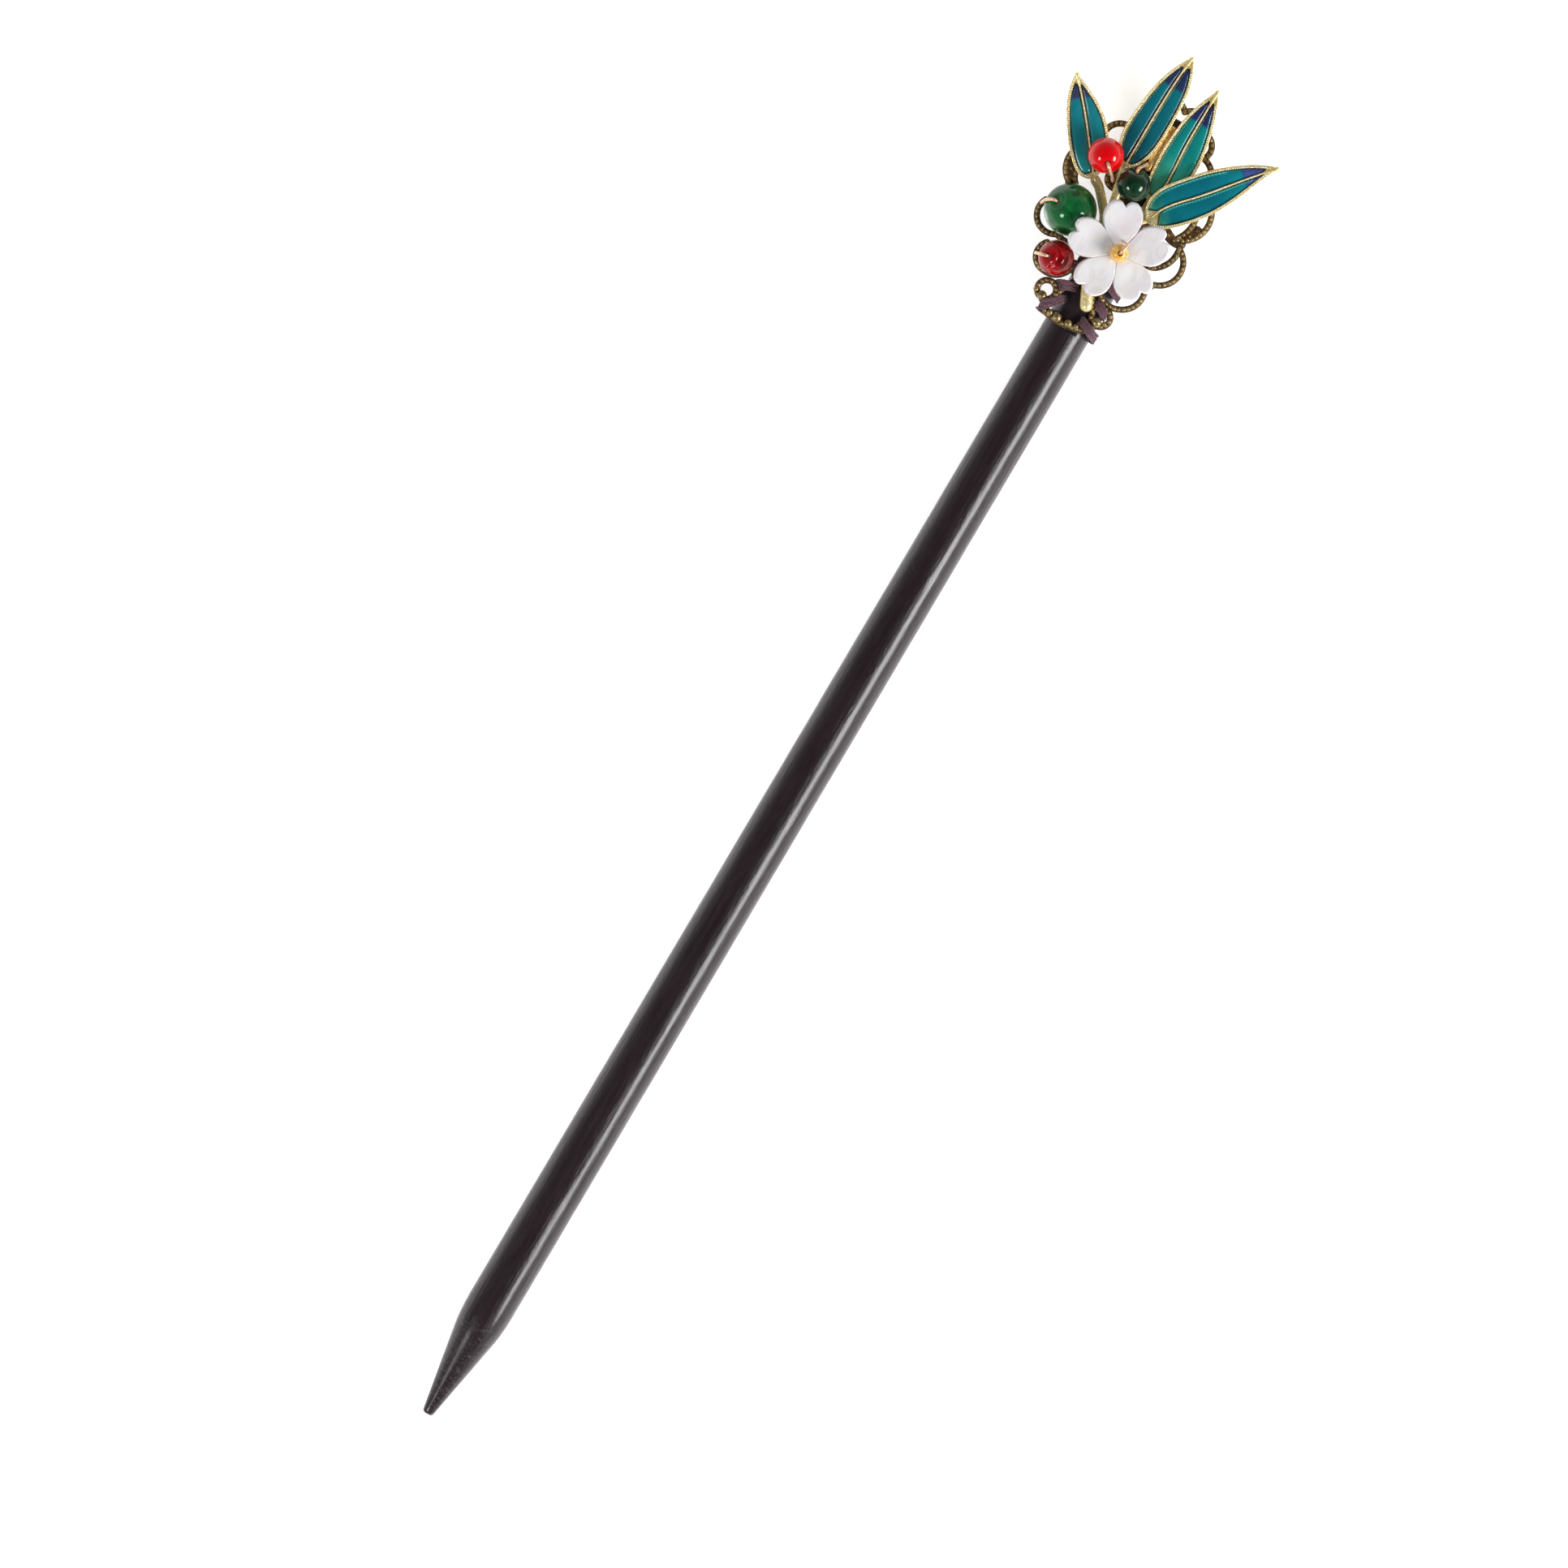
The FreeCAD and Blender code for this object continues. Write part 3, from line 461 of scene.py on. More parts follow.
class Look:
    """A node material and short ways to add to it."""

    def __init__(self, name, **sockets):
        self.material = bpy.data.materials.new(name)
        self.material.use_nodes = True
        self.tree = self.material.node_tree
        self.shader = self.tree.nodes["Principled BSDF"]
        fill(self.shader, sockets)
        self.place = self.tree.nodes.new("ShaderNodeTexCoord").outputs["Object"]

    def link(self, output, target):
        self.tree.links.new(output, target)

    def node(self, kind, **sockets):
        made = self.tree.nodes.new(kind)
        fill(made, sockets)
        return made

    def noise(self, size, detail=3.0, rough=0.5, warp=0.0):
        """Noise with lumps of a size in millimetres, or of one for each axis."""
        sizes = size if isinstance(size, tuple) else (size,) * 3
        place = self.node("ShaderNodeMapping", Scale=[1 / (one * MM) for one in sizes])
        self.link(self.place, place.inputs["Vector"])
        node = self.node("ShaderNodeTexNoise", Scale=1.0, Detail=detail, Roughness=rough,
                         Distortion=warp)
        self.link(place.outputs["Vector"], node.inputs["Vector"])
        return node.outputs["Fac"]

    def ramp(self, value, rows):
        """Colours from a value; a row is its place from 0 to 1, red, green and blue."""
        return colour_ramp(self.tree, value, [(share, rgb(*colour)) for share, *colour in rows])

    def spread(self, value, low, high, first=0.3, last=0.7):
        """Value from a range to another range."""
        node = self.node("ShaderNodeMapRange", From_Min=first, From_Max=last, To_Min=low,
                         To_Max=high)
        self.link(value, node.inputs["Value"])
        return node.outputs["Result"]

    def math(self, operation, a, b):
        node = self.tree.nodes.new("ShaderNodeMath")
        node.operation = operation
        self.link(a, node.inputs[0])
        self.link(b, node.inputs[1])
        return node.outputs["Value"]

    def mix(self, share, a, b):
        node = self.tree.nodes.new("ShaderNodeMix")
        node.data_type = "RGBA"
        self.link(share, node.inputs["Factor"])
        for socket, value in ((node.inputs[6], a), (node.inputs[7], b)):
            if isinstance(value, tuple):
                socket.default_value = value
            else:
                self.link(value, socket)
        return node.outputs[2]

    def paint(self, name):
        """Value that the mesh carries at each point."""
        node = self.tree.nodes.new("ShaderNodeAttribute")
        node.attribute_name = name
        return node.outputs["Fac"]

    def axis(self, index):
        node = self.tree.nodes.new("ShaderNodeSeparateXYZ")
        self.link(self.place, node.inputs["Vector"])
        return node.outputs[index]

    def along(self, start, end):
        """Share of the way from one place to another, at each point of the surface."""
        first = (Vector((*start, 0.0)) - ORIGIN) * MM
        way = Vector((*end, 0.0)) - Vector((*start, 0.0))
        length = way.length * MM
        less = self.tree.nodes.new("ShaderNodeVectorMath")
        less.operation = "SUBTRACT"
        less.inputs[1].default_value = (first.x, first.y, 0.0)
        self.link(self.place, less.inputs[0])
        dot = self.tree.nodes.new("ShaderNodeVectorMath")
        dot.operation = "DOT_PRODUCT"
        dot.inputs[1].default_value = tuple(way.normalized() / length)
        self.link(less.outputs["Vector"], dot.inputs[0])
        return dot.outputs["Value"]

    def colour(self, output):
        self.link(output, self.shader.inputs["Base Color"])

    def roughness(self, output):
        self.link(output, self.shader.inputs["Roughness"])

    def bump(self, output, depth):
        """Relief of a depth in millimetres, on top of what is already there."""
        node = self.node("ShaderNodeBump", Strength=1.0, Distance=depth * MM)
        self.link(output, node.inputs["Height"])
        old = self.shader.inputs["Normal"].links
        if old:
            self.link(old[0].from_socket, node.inputs["Normal"])
        self.link(node.outputs["Normal"], self.shader.inputs["Normal"])


def lacquer_look():
    """Near-black brown lacquer over wood grain, with sanding marks on the cone."""
    look = Look("lacquered_wood", Coat_Weight=0.5, Coat_Roughness=0.2, Specular_IOR_Level=0.3,
                Sheen_Weight=0.16, Sheen_Roughness=0.5, Sheen_Tint=rgb(190, 160, 185))
    grain = look.noise((0.5, 9.0, 0.5), detail=5.0, rough=0.6)
    base = look.ramp(grain, ((0.3, 30, 20, 23), (0.7, 43, 31, 36)))
    marks = look.noise((0.7, 0.24, 0.7), detail=4.0, rough=0.7)
    marks = look.spread(marks, 0.0, 0.7, 0.54, 0.68)
    on_cone = look.spread(look.axis(1), 1.0, 0.0, (12.2 - ORIGIN.y) * MM, (14.0 - ORIGIN.y) * MM)
    scuffs = look.math("MULTIPLY", marks, on_cone)
    look.colour(look.mix(scuffs, base, rgb(88, 77, 83)))
    look.roughness(look.spread(look.noise((0.7, 4.0, 0.7), detail=4.0), 0.26, 0.42))
    chatter = look.noise((0.55, 1.3, 0.55), detail=4.0, rough=0.62)
    streaks = look.noise((0.32, 7.0, 0.32), detail=2.0)
    look.bump(chatter, 0.07)
    look.bump(streaks, 0.06)
    look.bump(scuffs, 0.03)
    return look.material


def bronze_look(name, dark, light, worn, rough):
    """Darkened bronze: brown patina that has worn through on the high spots."""
    look = Look(name, Metallic=0.8)
    patina = look.noise(0.7, detail=5.0, rough=0.65)
    base = look.ramp(patina, ((0.32, *dark), (0.55, *light), (0.72, *worn)))
    look.colour(base)
    look.roughness(look.spread(look.noise(0.25), rough, rough + 0.2))
    look.bump(look.noise(0.12, detail=4.0), 0.02)
    return look.material


def gilt_look(name, deep, bright, rough, metallic=0.5, relief=0.05):
    """Satin gilding, cast a little rough and rubbed bright."""
    look = Look(name, Metallic=metallic)
    clouds = look.noise(0.8, detail=4.0, rough=0.6)
    look.colour(look.ramp(clouds, ((0.36, *deep), (0.6, *bright))))
    grain = look.noise(0.3, detail=4.0)
    look.roughness(look.spread(grain, rough, rough + 0.14))
    look.bump(look.noise(0.4, detail=4.0, rough=0.6), relief)
    return look.material


def enamel_look(name, leaf, colours):
    """Fired enamel, with its colours placed along the leaf from base to tip."""
    look = Look(name, Coat_Weight=0.8, Coat_Roughness=0.04, Roughness=0.3, Specular_IOR_Level=0.1)
    clouds = look.noise(1.4, detail=3.0, rough=0.5)
    waver = look.spread(clouds, -0.006, 0.006)
    place = look.math("ADD", look.along(leaf["base"], leaf["tip"]), waver)
    base = look.ramp(place, colours)
    shade = look.spread(look.noise((0.8, 2.5, 0.8), detail=2.0), 0.0, 0.24)
    base = look.mix(shade, base, rgb(4, 84, 98))
    # Painted highlight: cyan dots where the mesh carries glint
    base = look.mix(look.paint("glint"), base, rgb(110, 255, 250))
    # Painted shade: a dark line where the mesh carries edge, in the groove between the enamel and the
    # gold
    look.colour(look.mix(look.paint("edge"), base, rgb(8, 20, 24)))
    look.roughness(look.spread(clouds, 0.2, 0.34))
    look.bump(look.noise(0.9, detail=2.0), 0.02)
    return look.material


def glass_look(name, dark, light, size, pale):
    """Coloured glass with soft clouds in it, with painted pale reflections and light seen through the
    glass where the mesh carries thin, and painted dark reflections and shade where it carries deep.
    """
    look = Look(name, Coat_Weight=1.0, Coat_Roughness=0.075, Specular_IOR_Level=0.0)
    swirl = look.noise(size, detail=2.5, rough=0.5, warp=1.5)
    base = look.ramp(swirl, ((0.3, *dark), (0.7, *light)))
    # Painted light: dark reflection and shade where the bead carries deep, pale reflection and light
    # seen through the glass where it carries thin
    base = look.mix(look.paint("deep"), base, tuple(v * 0.25 for v in rgb(*dark)[:3]) + (1.0,))
    look.colour(look.mix(look.paint("thin"), base, rgb(*pale)))
    look.roughness(look.spread(swirl, 0.06, 0.18))
    look.bump(look.noise(1.1, detail=1.5), 0.02)
    return look.material


def shell_look():
    """Mother-of-pearl: milky white with faint rosy and green growth bands."""
    look = Look("mother_of_pearl", Coat_Weight=0.6, Coat_Roughness=0.12, Subsurface_Weight=0.25,
                Subsurface_Scale=0.6 * MM)
    bands = look.noise((2.2, 5.0, 2.2), detail=3.0, rough=0.5, warp=1.2)
    tints = look.noise(3.2, detail=2.0, warp=1.0)
    milky = ((0.3, 226, 222, 224), (0.5, 238, 237, 240), (0.72, 232, 230, 230))
    rosy = ((0.3, 238, 228, 216), (0.5, 236, 236, 240), (0.7, 236, 224, 228))
    tone = look.ramp(bands, milky)
    tint = look.ramp(tints, rosy)
    look.colour(look.mix(look.spread(bands, 0.25, 0.6), tone, tint))
    look.roughness(look.spread(bands, 0.22, 0.4))
    look.bump(bands, 0.015)
    look.bump(look.noise(0.5, detail=3.0), 0.006)
    return look.material


def thread_look():
    """Dark aubergine thread of fine fibres."""
    look = Look("dark_thread", Sheen_Weight=0.5, Sheen_Roughness=0.4)
    fibres = look.noise(0.12, detail=4.0, rough=0.7)
    aubergine = ((0.3, 66, 34, 44), (0.52, 108, 70, 84), (0.72, 160, 122, 136))
    look.colour(look.ramp(fibres, aubergine))
    look.roughness(look.spread(fibres, 0.5, 0.8))
    look.bump(fibres, 0.04)
    return look.material


def floor_look():
    """Pale matt tabletop."""
    look = Look("floor_white", Emission_Color=rgb(255, 255, 255), Emission_Strength=0.62)
    tone = look.noise(60.0, detail=3.0)
    look.colour(look.ramp(tone, ((0.3, 244, 244, 244), (0.7, 247, 247, 247))))
    look.roughness(look.spread(tone, 0.7, 0.8))
    return look.material


LACQUER = lacquer_look()
BRONZE = bronze_look("antique_bronze", (66, 50, 36), (112, 88, 60), (150, 122, 84), 0.36)
GRANULE_BRONZE = bronze_look("bronze_granules", (128, 108, 70), (170, 150, 104),
                             (206, 186, 138), 0.26)
GILT = gilt_look("gilt_metal", (238, 204, 128), (255, 242, 184), 0.2)
MILGRAIN_GILT = gilt_look("gilt_beading", (255, 236, 178), (255, 252, 224), 0.18,
                          metallic=0.4)
WARM_GILT = gilt_look("warm_gilt", (214, 146, 72), (255, 222, 150), 0.2)
# Lighter, less metallic copy of the gilt for the branch's crest and edge: partly painted highlight,
# lifted so they read bright in the beads' shade
HIGHLIGHT_GILT = gilt_look("highlight_gilt", (252, 226, 150), (255, 246, 196), 0.16,
                        metallic=0.4, relief=0.015)
ROSE_GOLD = gilt_look("rose_gold_wire", (236, 178, 130), (252, 218, 182), 0.2,
                      relief=0.012)
# Each glass: its two cloud colours, the size of its clouds, and the colour of its painted pale
# reflection
RED_GLASS = glass_look("red_glass", (222, 0, 12), (242, 8, 18), 2.4, (255, 120, 120))
DEEP_RED_GLASS = glass_look("deep_red_glass", (138, 0, 9), (190, 3, 16), 1.6,
                            (222, 84, 92))
GREEN_GLASS = glass_look("green_glass", (10, 78, 38), (26, 118, 58), 2.6,
                         (206, 222, 208))
DARK_GREEN_GLASS = glass_look("dark_green_glass", (10, 36, 22), (22, 66, 36), 1.8,
                              (96, 128, 104))
AMBER_GLASS = glass_look("amber_glass", (228, 154, 60), (255, 222, 132), 0.9,
                         (255, 236, 180))
PEARL = shell_look()
THREAD = thread_look()

# Enamel colours along each leaf: share of the way from base to tip, red, green and blue
# The pale stops near the bases of leaf1 and leaf3 are partly the enamel's own lighter green and partly
# painted light, lifted against the shade that the beads and the fourth leaf cast there
ENAMEL_COLOURS_AND_PAINTED_LIGHT = {
    "leaf1": (
        (0.0, 34, 150, 148), (0.3, 22, 136, 144), (0.735, 24, 130, 144), (0.748, 50, 96, 130),
        (0.765, 56, 60, 106), (1.0, 46, 42, 92),
    ),
    "leaf2": (
        (0.0, 10, 86, 98), (0.35, 8, 102, 116), (0.71, 8, 120, 134), (0.722, 24, 84, 116),
        (0.738, 42, 44, 96), (1.0, 38, 34, 80),
    ),
    "leaf3": (
        (0.0, 110, 214, 180), (0.22, 70, 190, 160), (0.42, 14, 144, 136), (0.7, 6, 134, 134),
        (0.712, 20, 96, 126), (0.726, 40, 42, 104), (1.0, 34, 30, 82),
    ),
    "leaf4": (
        (0.0, 70, 176, 130), (0.17, 4, 118, 130), (0.48, 2, 114, 132), (0.725, 16, 140, 152),
        (0.742, 30, 96, 150), (0.765, 80, 88, 156), (1.0, 52, 52, 122),
    ),
}


# Stick

def stick_piece():
    """Rod with a blunt cone, its planed back, its seat and the thread notches."""
    stations = list(STICK_PROFILE)
    place = SHANK_START_Y
    while place < STICK_LAST_Y - STATION_PITCH / 2:
        stations.append((place, STICK_RADIUS))
        place += STATION_PITCH
    edges = [SEAT_START_Y]
    for middle in NOTCH_YS:
        edges += [middle - NOTCH_HALF, middle + NOTCH_HALF]
    for edge in edges:
        stations += [(edge - 0.01, STICK_RADIUS), (edge + 0.01, STICK_RADIUS)]
    for step in range(1, 18):
        share = step / 18
        stations.append((0.5 + 10.5 * share, 0.72 + 1.88 * share))
    stations += [(STICK_LAST_Y - 0.2, STICK_RADIUS), (STICK_LAST_Y - 0.05, STICK_RADIUS - 0.08),
                 (STICK_LAST_Y, STICK_RADIUS - 0.2)]
    stations = sorted(set(stations))
    count = 88
    rows = []
    for y, radius in stations:
        low = NOTCH_Z if any(abs(y - middle) < NOTCH_HALF for middle in NOTCH_YS) else 0.0
        high = SEAT_Z if y > SEAT_START_Y else 2 * STICK_RADIUS
        row = []
        for k in range(count):
            t = 2 * math.pi * (k + 0.5) / count
            side, up = math.sin(t), math.cos(t)
            wobble = noise.noise(Vector((side * 1.3, y / 7.0, up * 1.3))) * 0.03
            wobble += noise.noise(Vector((side * 5.0, y / 2.2, up * 5.0))) * 0.012
            size = radius + min(wobble, 0.0) if radius > 1.0 else radius
            row.append(Vector((side * size, y, min(max(AXIS_Z + up * size, low), high))))
        rows.append(row)
    shell = Shell()
    shell.grid(rows, close_columns=True)
    for row in (rows[0], rows[-1]):
        shell.lid(row, sum(row, Vector()) / count)
    shell.piece("stick_lacquered", LACQUER, "lacquered_wood", ["stick"], sharp=35, weld=0.001)


# Filigree plate

def plate_pieces():
    """Rounded wires, rings and pierced middle, and the granules and balls on them."""
    plate, granules = Shell(), Shell()
    granule_z = PLATE_TOP - GRANULE_SINK
    half_high = PLATE_THICKNESS / 2
    for rows, half, pitch, grain in WIRE_GROUPS:
        section = round_section(half, PLATE_LOW, PLATE_TOP)
        for row in rows:
            points = arc_points(row, 22)
            flat_sweep(plate, points, section)
            for end in (points[0], points[-1]):
                add_ball(plate, end + UP * (PLATE_LOW + half_high), half, flat=half_high / half)
            for place, way in even(points, pitch):
                nudge = Vector((random.uniform(-0.03, 0.03), random.uniform(-0.03, 0.03), 0.0))
                size = grain * random.uniform(0.86, 1.08)
                add_ball(granules, place + nudge + UP * granule_z, size, flat=0.9, way=way,
                         stretch=random.uniform(1.15, 1.5))
    section = round_section(RING_WIRE_HALF, PLATE_LOW, PLATE_TOP)
    for x, y, radius in RINGS:
        loop = circle(x, y, radius, 48)
        flat_sweep(plate, loop, section, closed=True)
        for place, way in even(loop + loop[:1], 0.6)[:-1]:
            add_ball(granules, place + UP * granule_z, RING_GRANULE, flat=0.9, way=way, stretch=1.15)
    for x, y, radius in BALLS:
        add_ball(granules, (x, y, PLATE_TOP - 0.05), radius, LARGE_BALL, flat=0.94)
    add_slab(plate, slab_outline())
    plate.piece("filigree_wires", BRONZE, "antique_bronze", ["filigree_base"], sharp=50)
    granules.piece("filigree_granules", GRANULE_BRONZE, "antique_bronze")


def circle(x, y, radius, count):
    """Even points round a flat circle."""
    turns = (2 * math.pi * i / count for i in range(count))
    return [Vector((x + math.cos(t) * radius, y + math.sin(t) * radius, 0.0)) for t in turns]


def slab_outline():
    """Outline of the plate's middle, with its rounded corners."""
    left, low, right, high = CORE
    left, low = left + CORE_CORNER, low + CORE_CORNER
    right, high = right - CORE_CORNER, high - CORE_CORNER
    outline = []
    for first, (x, y) in enumerate(((right, high), (left, high), (left, low), (right, low))):
        for step in range(7):
            t = math.pi / 2 * (first + step / 6)
            corner = (x + CORE_CORNER * math.cos(t), y + CORE_CORNER * math.sin(t), 0.0)
            outline.append(Vector(corner))
    return outline


def add_slab(shell, outline):
    """The plate's pierced middle, with its four round holes."""
    work = bmesh.new()
    loops = [outline]
    loops += [circle(CORE_HOLE_X, y, CORE_HOLE_RADIUS, 32) for y in CORE_HOLES_Y]
    edges = []
    for loop in loops:
        verts = [work.verts.new(point) for point in loop]
        edges += [work.edges.new((a, b)) for a, b in zip(verts, verts[1:] + verts[:1])]
    bmesh.ops.triangle_fill(work, edges=edges, use_beauty=True)
    work.verts.index_update()
    flat = [vert.co.copy() for vert in work.verts]
    faces = [tuple(vert.index for vert in face.verts) for face in work.faces]
    work.free()
    low, high = PLATE_LOW + 0.02, PLATE_TOP - 0.02
    shell.add([point + UP * high for point in flat], faces)
    shell.add([point + UP * low for point in flat], [face[::-1] for face in faces])
    for loop in loops:
        shell.grid([[point + UP * low for point in loop], [point + UP * high for point in loop]],
                   close_columns=True)


# Leaves

def flat3(point):
    return Vector((point[0], point[1], 0.0))


def leaf_line(leaf, side, count, first=0.0, last=1.0):
    points = [flat3(leaf["base"])] + [flat3(p) for p in leaf[side]] + [flat3(leaf["tip"])]
    return natural_spline(points, count, first, last)


def leaf_tilt(leaf):
    base = flat3(leaf["base"]) + UP * leaf["low"]
    way = flat3(leaf["tip"]) - flat3(leaf["base"])
    turn = Matrix.Rotation(math.radians(LEAF_LIFT), 4, way.cross(UP).normalized())
    return Matrix.Translation(base) @ turn @ Matrix.Translation(-base)


# Share of a leaf's length where the ridge at its tip starts and ends
TIP_RIDGE_START, TIP_RIDGE_END = 0.87, 0.982
# How many of a rim's last points stay without beads at the tip
PLAIN_TIP = {"leaf1": 10, "leaf2": 10, "leaf3": 9, "leaf4": 4}
# Inset from the leaf's edge, radius and pitch of the wire and the beads on rims and midribs
RIM_WIRE_INSET, RIM_WIRE_RADIUS = 0.08, 0.1
RIM_BEAD_INSET, RIM_BEAD_RADIUS, RIM_BEAD_PITCH = 0.24, 0.125, 0.285
RIB_BEAD_RADIUS, RIB_BEAD_PITCH = 0.1, 0.17
TIP_BALL_RADIUS, TIP_BALL_FLAT = 0.32, 1.85
# Places along the rounded bar between the second and third leaves, and its radius
WEB_BAR = ((-1.5, 175.0), (-1.45, 176.8), (-1.42, 178.4), (-1.4, 180.5))
WEB_BAR_RADIUS = 0.45
WEB_TOP = LEAF_LOW + 0.9


def web_bar():
    """Rounded gilt bar that covers the web between the second and third leaves."""
    shell = Shell()
    line = natural_spline([Vector((x, y, WEB_TOP - 0.06)) for x, y in WEB_BAR], 60)
    wander = [p + UP * 0.04 * noise.noise(p * 0.8) for p in line]
    size = [WEB_BAR_RADIUS + 0.06 * noise.noise(p * 1.3) for p in line]
    round_sweep(shell, wander, lambda i: size[i], sides=14)
    for end in (0, -1):
        add_ball(shell, wander[end], size[end], LARGE_BALL)
    shell.piece("leaf_web_bar", WARM_GILT, "gilt_metal")


# The middle of the branch to the first leaf, and the crest and edge on it: offset, height, radius
BRANCH_Z = LEAF_LOW + 0.52
BRANCH_LINE = ((-2.75, 166.4), (-3.4, 167.7), (-4.4, 168.8), (-5.5, 169.95), (-6.4, 170.5))
BRANCH_EDGES = ((-0.06, 0.42, 0.34), (0.46, 0.32, 0.13))


def branch_edges():
    """Rounded crest and a thin edge along the branch that carries the first leaf, in a lighter gilt
    that is partly painted highlight.
    """
    shell = Shell()
    line = natural_spline([Vector((x, y, 0.0)) for x, y in BRANCH_LINE], 60)
    for offset, height, radius in BRANCH_EDGES:
        edge = [p + UP * (BRANCH_Z + height) for p in beside(line, offset)]
        round_sweep(shell, edge, radius, sides=10)
        for end in (0, -1):
            add_ball(shell, edge[end], radius)
    shell.piece("leaf_branch_edges", HIGHLIGHT_GILT, "gilt_metal")


def leaf_beading():
    """Round wire and beading on the rims, and beads along the midribs."""
    wire, beads = Shell(), Shell()
    for name, leaf in LEAVES.items():
        top = leaf["low"] + LEAF_THICKNESS
        own_wire, own_beads = Shell(), Shell()
        for side, sign in (("left", -1), ("right", 1)):
            line = leaf_line(leaf, side, 90, 0.015, 0.985)
            outer = [p + UP * (top - 0.03) for p in beside(line, sign * RIM_WIRE_INSET)]
            round_sweep(own_wire, outer, RIM_WIRE_RADIUS)
            inner = [p + UP * top for p in beside(line, sign * RIM_BEAD_INSET)]
            for place, _ in even(inner[2:-PLAIN_TIP[name]], RIM_BEAD_PITCH):
                add_ball(own_beads, place, RIM_BEAD_RADIUS * random.uniform(0.93, 1.05))
        rib = leaf_line(leaf, "rib", 60, 0.05, 0.95)
        for place, _ in even([p + UP * (top - 0.01) for p in rib], RIB_BEAD_PITCH):
            add_ball(own_beads, place, RIB_BEAD_RADIUS * random.uniform(0.93, 1.05))
        tip = leaf_line(leaf, "rib", 30, TIP_RIDGE_START, TIP_RIDGE_END)
        ridge = [p + UP * (top - 0.06) for p in tip]
        round_sweep(own_wire, ridge, lambda i: 0.14 + 0.16 * i / (len(ridge) - 1), sides=10)
        ball = ridge[-1] - UP * (LEAF_THICKNESS / 2 - 0.12)
        add_ball(own_wire, ball, TIP_BALL_RADIUS, LARGE_BALL, flat=TIP_BALL_FLAT)
        tilt = leaf_tilt(leaf)
        for own, whole in ((own_wire, wire), (own_beads, beads)):
            own.change(tilt)
            whole.add(own.points, own.faces)
    wire.piece("leaf_rim_wire", GILT, "gilt_metal")
    beads.piece("leaf_beading", MILGRAIN_GILT, "gilt_metal")


# Edges that carry a painted highlight, a dotted cyan line standing in for light caught in the enamel:
# side, border, first and last share, and strength
GLINTS = {
    "leaf3": (("right", "rim", 0.3, 0.9, 0.45),),
    "leaf4": (("left", "rim", 0.02, 0.7, 0.9), ("right", "rib", 0.04, 0.9, 0.75)),
}
# Width of the painted shade along the enamel's borders; pitch, inset and width of the painted
# highlight's dots
EDGE_SHADE_WIDTH = 0.15
GLINT_PITCH, GLINT_INSET, GLINT_WIDTH = 0.4, 0.24, 0.09
# Insets of the enamel from the leaf's edge and midrib, its floor over the leaf's back, the height
# of its border and how much its middle rises over that
RIM_INSET, RIB_INSET = 0.37, 0.15
ENAMEL_FLOOR, ENAMEL_HEIGHT, ENAMEL_CROWN = 0.45, 0.36, 0.25


def glint_strength(leaf_name, side, border, share, gone):
    """How bright the painted highlight's dotted line is at a place along an enamel's border."""
    for row in GLINTS.get(leaf_name, ()):
        if row[:2] == (side, border) and row[2] < share < row[3]:
            return row[4] * (0.62 + 0.38 * math.cos(2 * math.pi * gone / GLINT_PITCH))
    return 0.0


def enamel_panel(name, leaf, side, material):
    """One half of a leaf's enamel, crowned, with painted shade as a dark line along its border and a
    painted highlight as dotted glints.
    """
    along, across = 150, 20
    sign, which = (1, 0) if side == "left" else (-1, 1)
    first, last = leaf["ranges"][which]
    rib_first, rib_last = leaf["ranges"][2]
    rim = beside(leaf_line(leaf, side, along, first + 0.006, last - 0.006), -sign * RIM_INSET)
    rib = leaf_line(leaf, "rib", along, rib_first + 0.006, rib_last - 0.006)
    rib = beside(rib, sign * RIB_INSET)
    low = leaf["low"] + ENAMEL_FLOOR
    top_rows, low_rows, edge, glint = [], [], [], []
    length = (rib[-1] - rib[0]).length
    for i in range(along):
        share = i / (along - 1)
        end = min(share, 1 - share)
        taper = min(1.0, math.sqrt(end / 0.05)) if end < 0.05 else 1.0
        width = (rim[i] - rib[i]).length
        lines = [glint_strength(name, side, border, share, share * length)
                 for border in ("rim", "rib")]
        row, under = [], []
        for j in range(across):
            s = 0.5 - 0.5 * math.cos(math.pi * j / (across - 1))
            place = rim[i].lerp(rib[i], s)
            crown = (1 - abs(2 * s - 1) ** 2.6) * taper
            row.append(place + UP * (low + ENAMEL_HEIGHT + ENAMEL_CROWN * crown))
            under.append(place + UP * low)
            # Painted shade: dark close to the rim, the midrib and the panel's ends
            borders = (s * width, (1 - s) * width)
            near = min(*borders, end * length)
            edge.append(min(1.0, max(0.0, 1.25 * (1 - near / EDGE_SHADE_WIDTH))))
            # Painted highlight: dots a little way in from the borders listed in GLINTS
            spots = [math.exp(-((away - GLINT_INSET) / GLINT_WIDTH) ** 2) for away in borders]
            glint.append(sum(line * spot for line, spot in zip(lines, spots)))
        top_rows.append(row)
        low_rows.append(under)
    shell = Shell()
    shell.grid(top_rows)
    shell.painted("edge", edge)
    shell.painted("glint", glint)
    shell.grid(low_rows)
    for end in (0, -1):
        shell.grid([top_rows[end], low_rows[end]])
    for end in (0, -1):
        shell.grid([[row[end] for row in top_rows], [row[end] for row in low_rows]])
    shell.change(leaf_tilt(leaf))
    node = "enamel_" + name + "_" + side
    shell.piece(node + "_glaze", material, "teal_enamel", [node], sharp=50, weld=0.002)


def enamel_pieces():
    for name, leaf in LEAVES.items():
        material = enamel_look("enamel_" + name, leaf, ENAMEL_COLOURS_AND_PAINTED_LIGHT[name])
        for side in ("left", "right"):
            enamel_panel(name, leaf, side, material)


# Beads

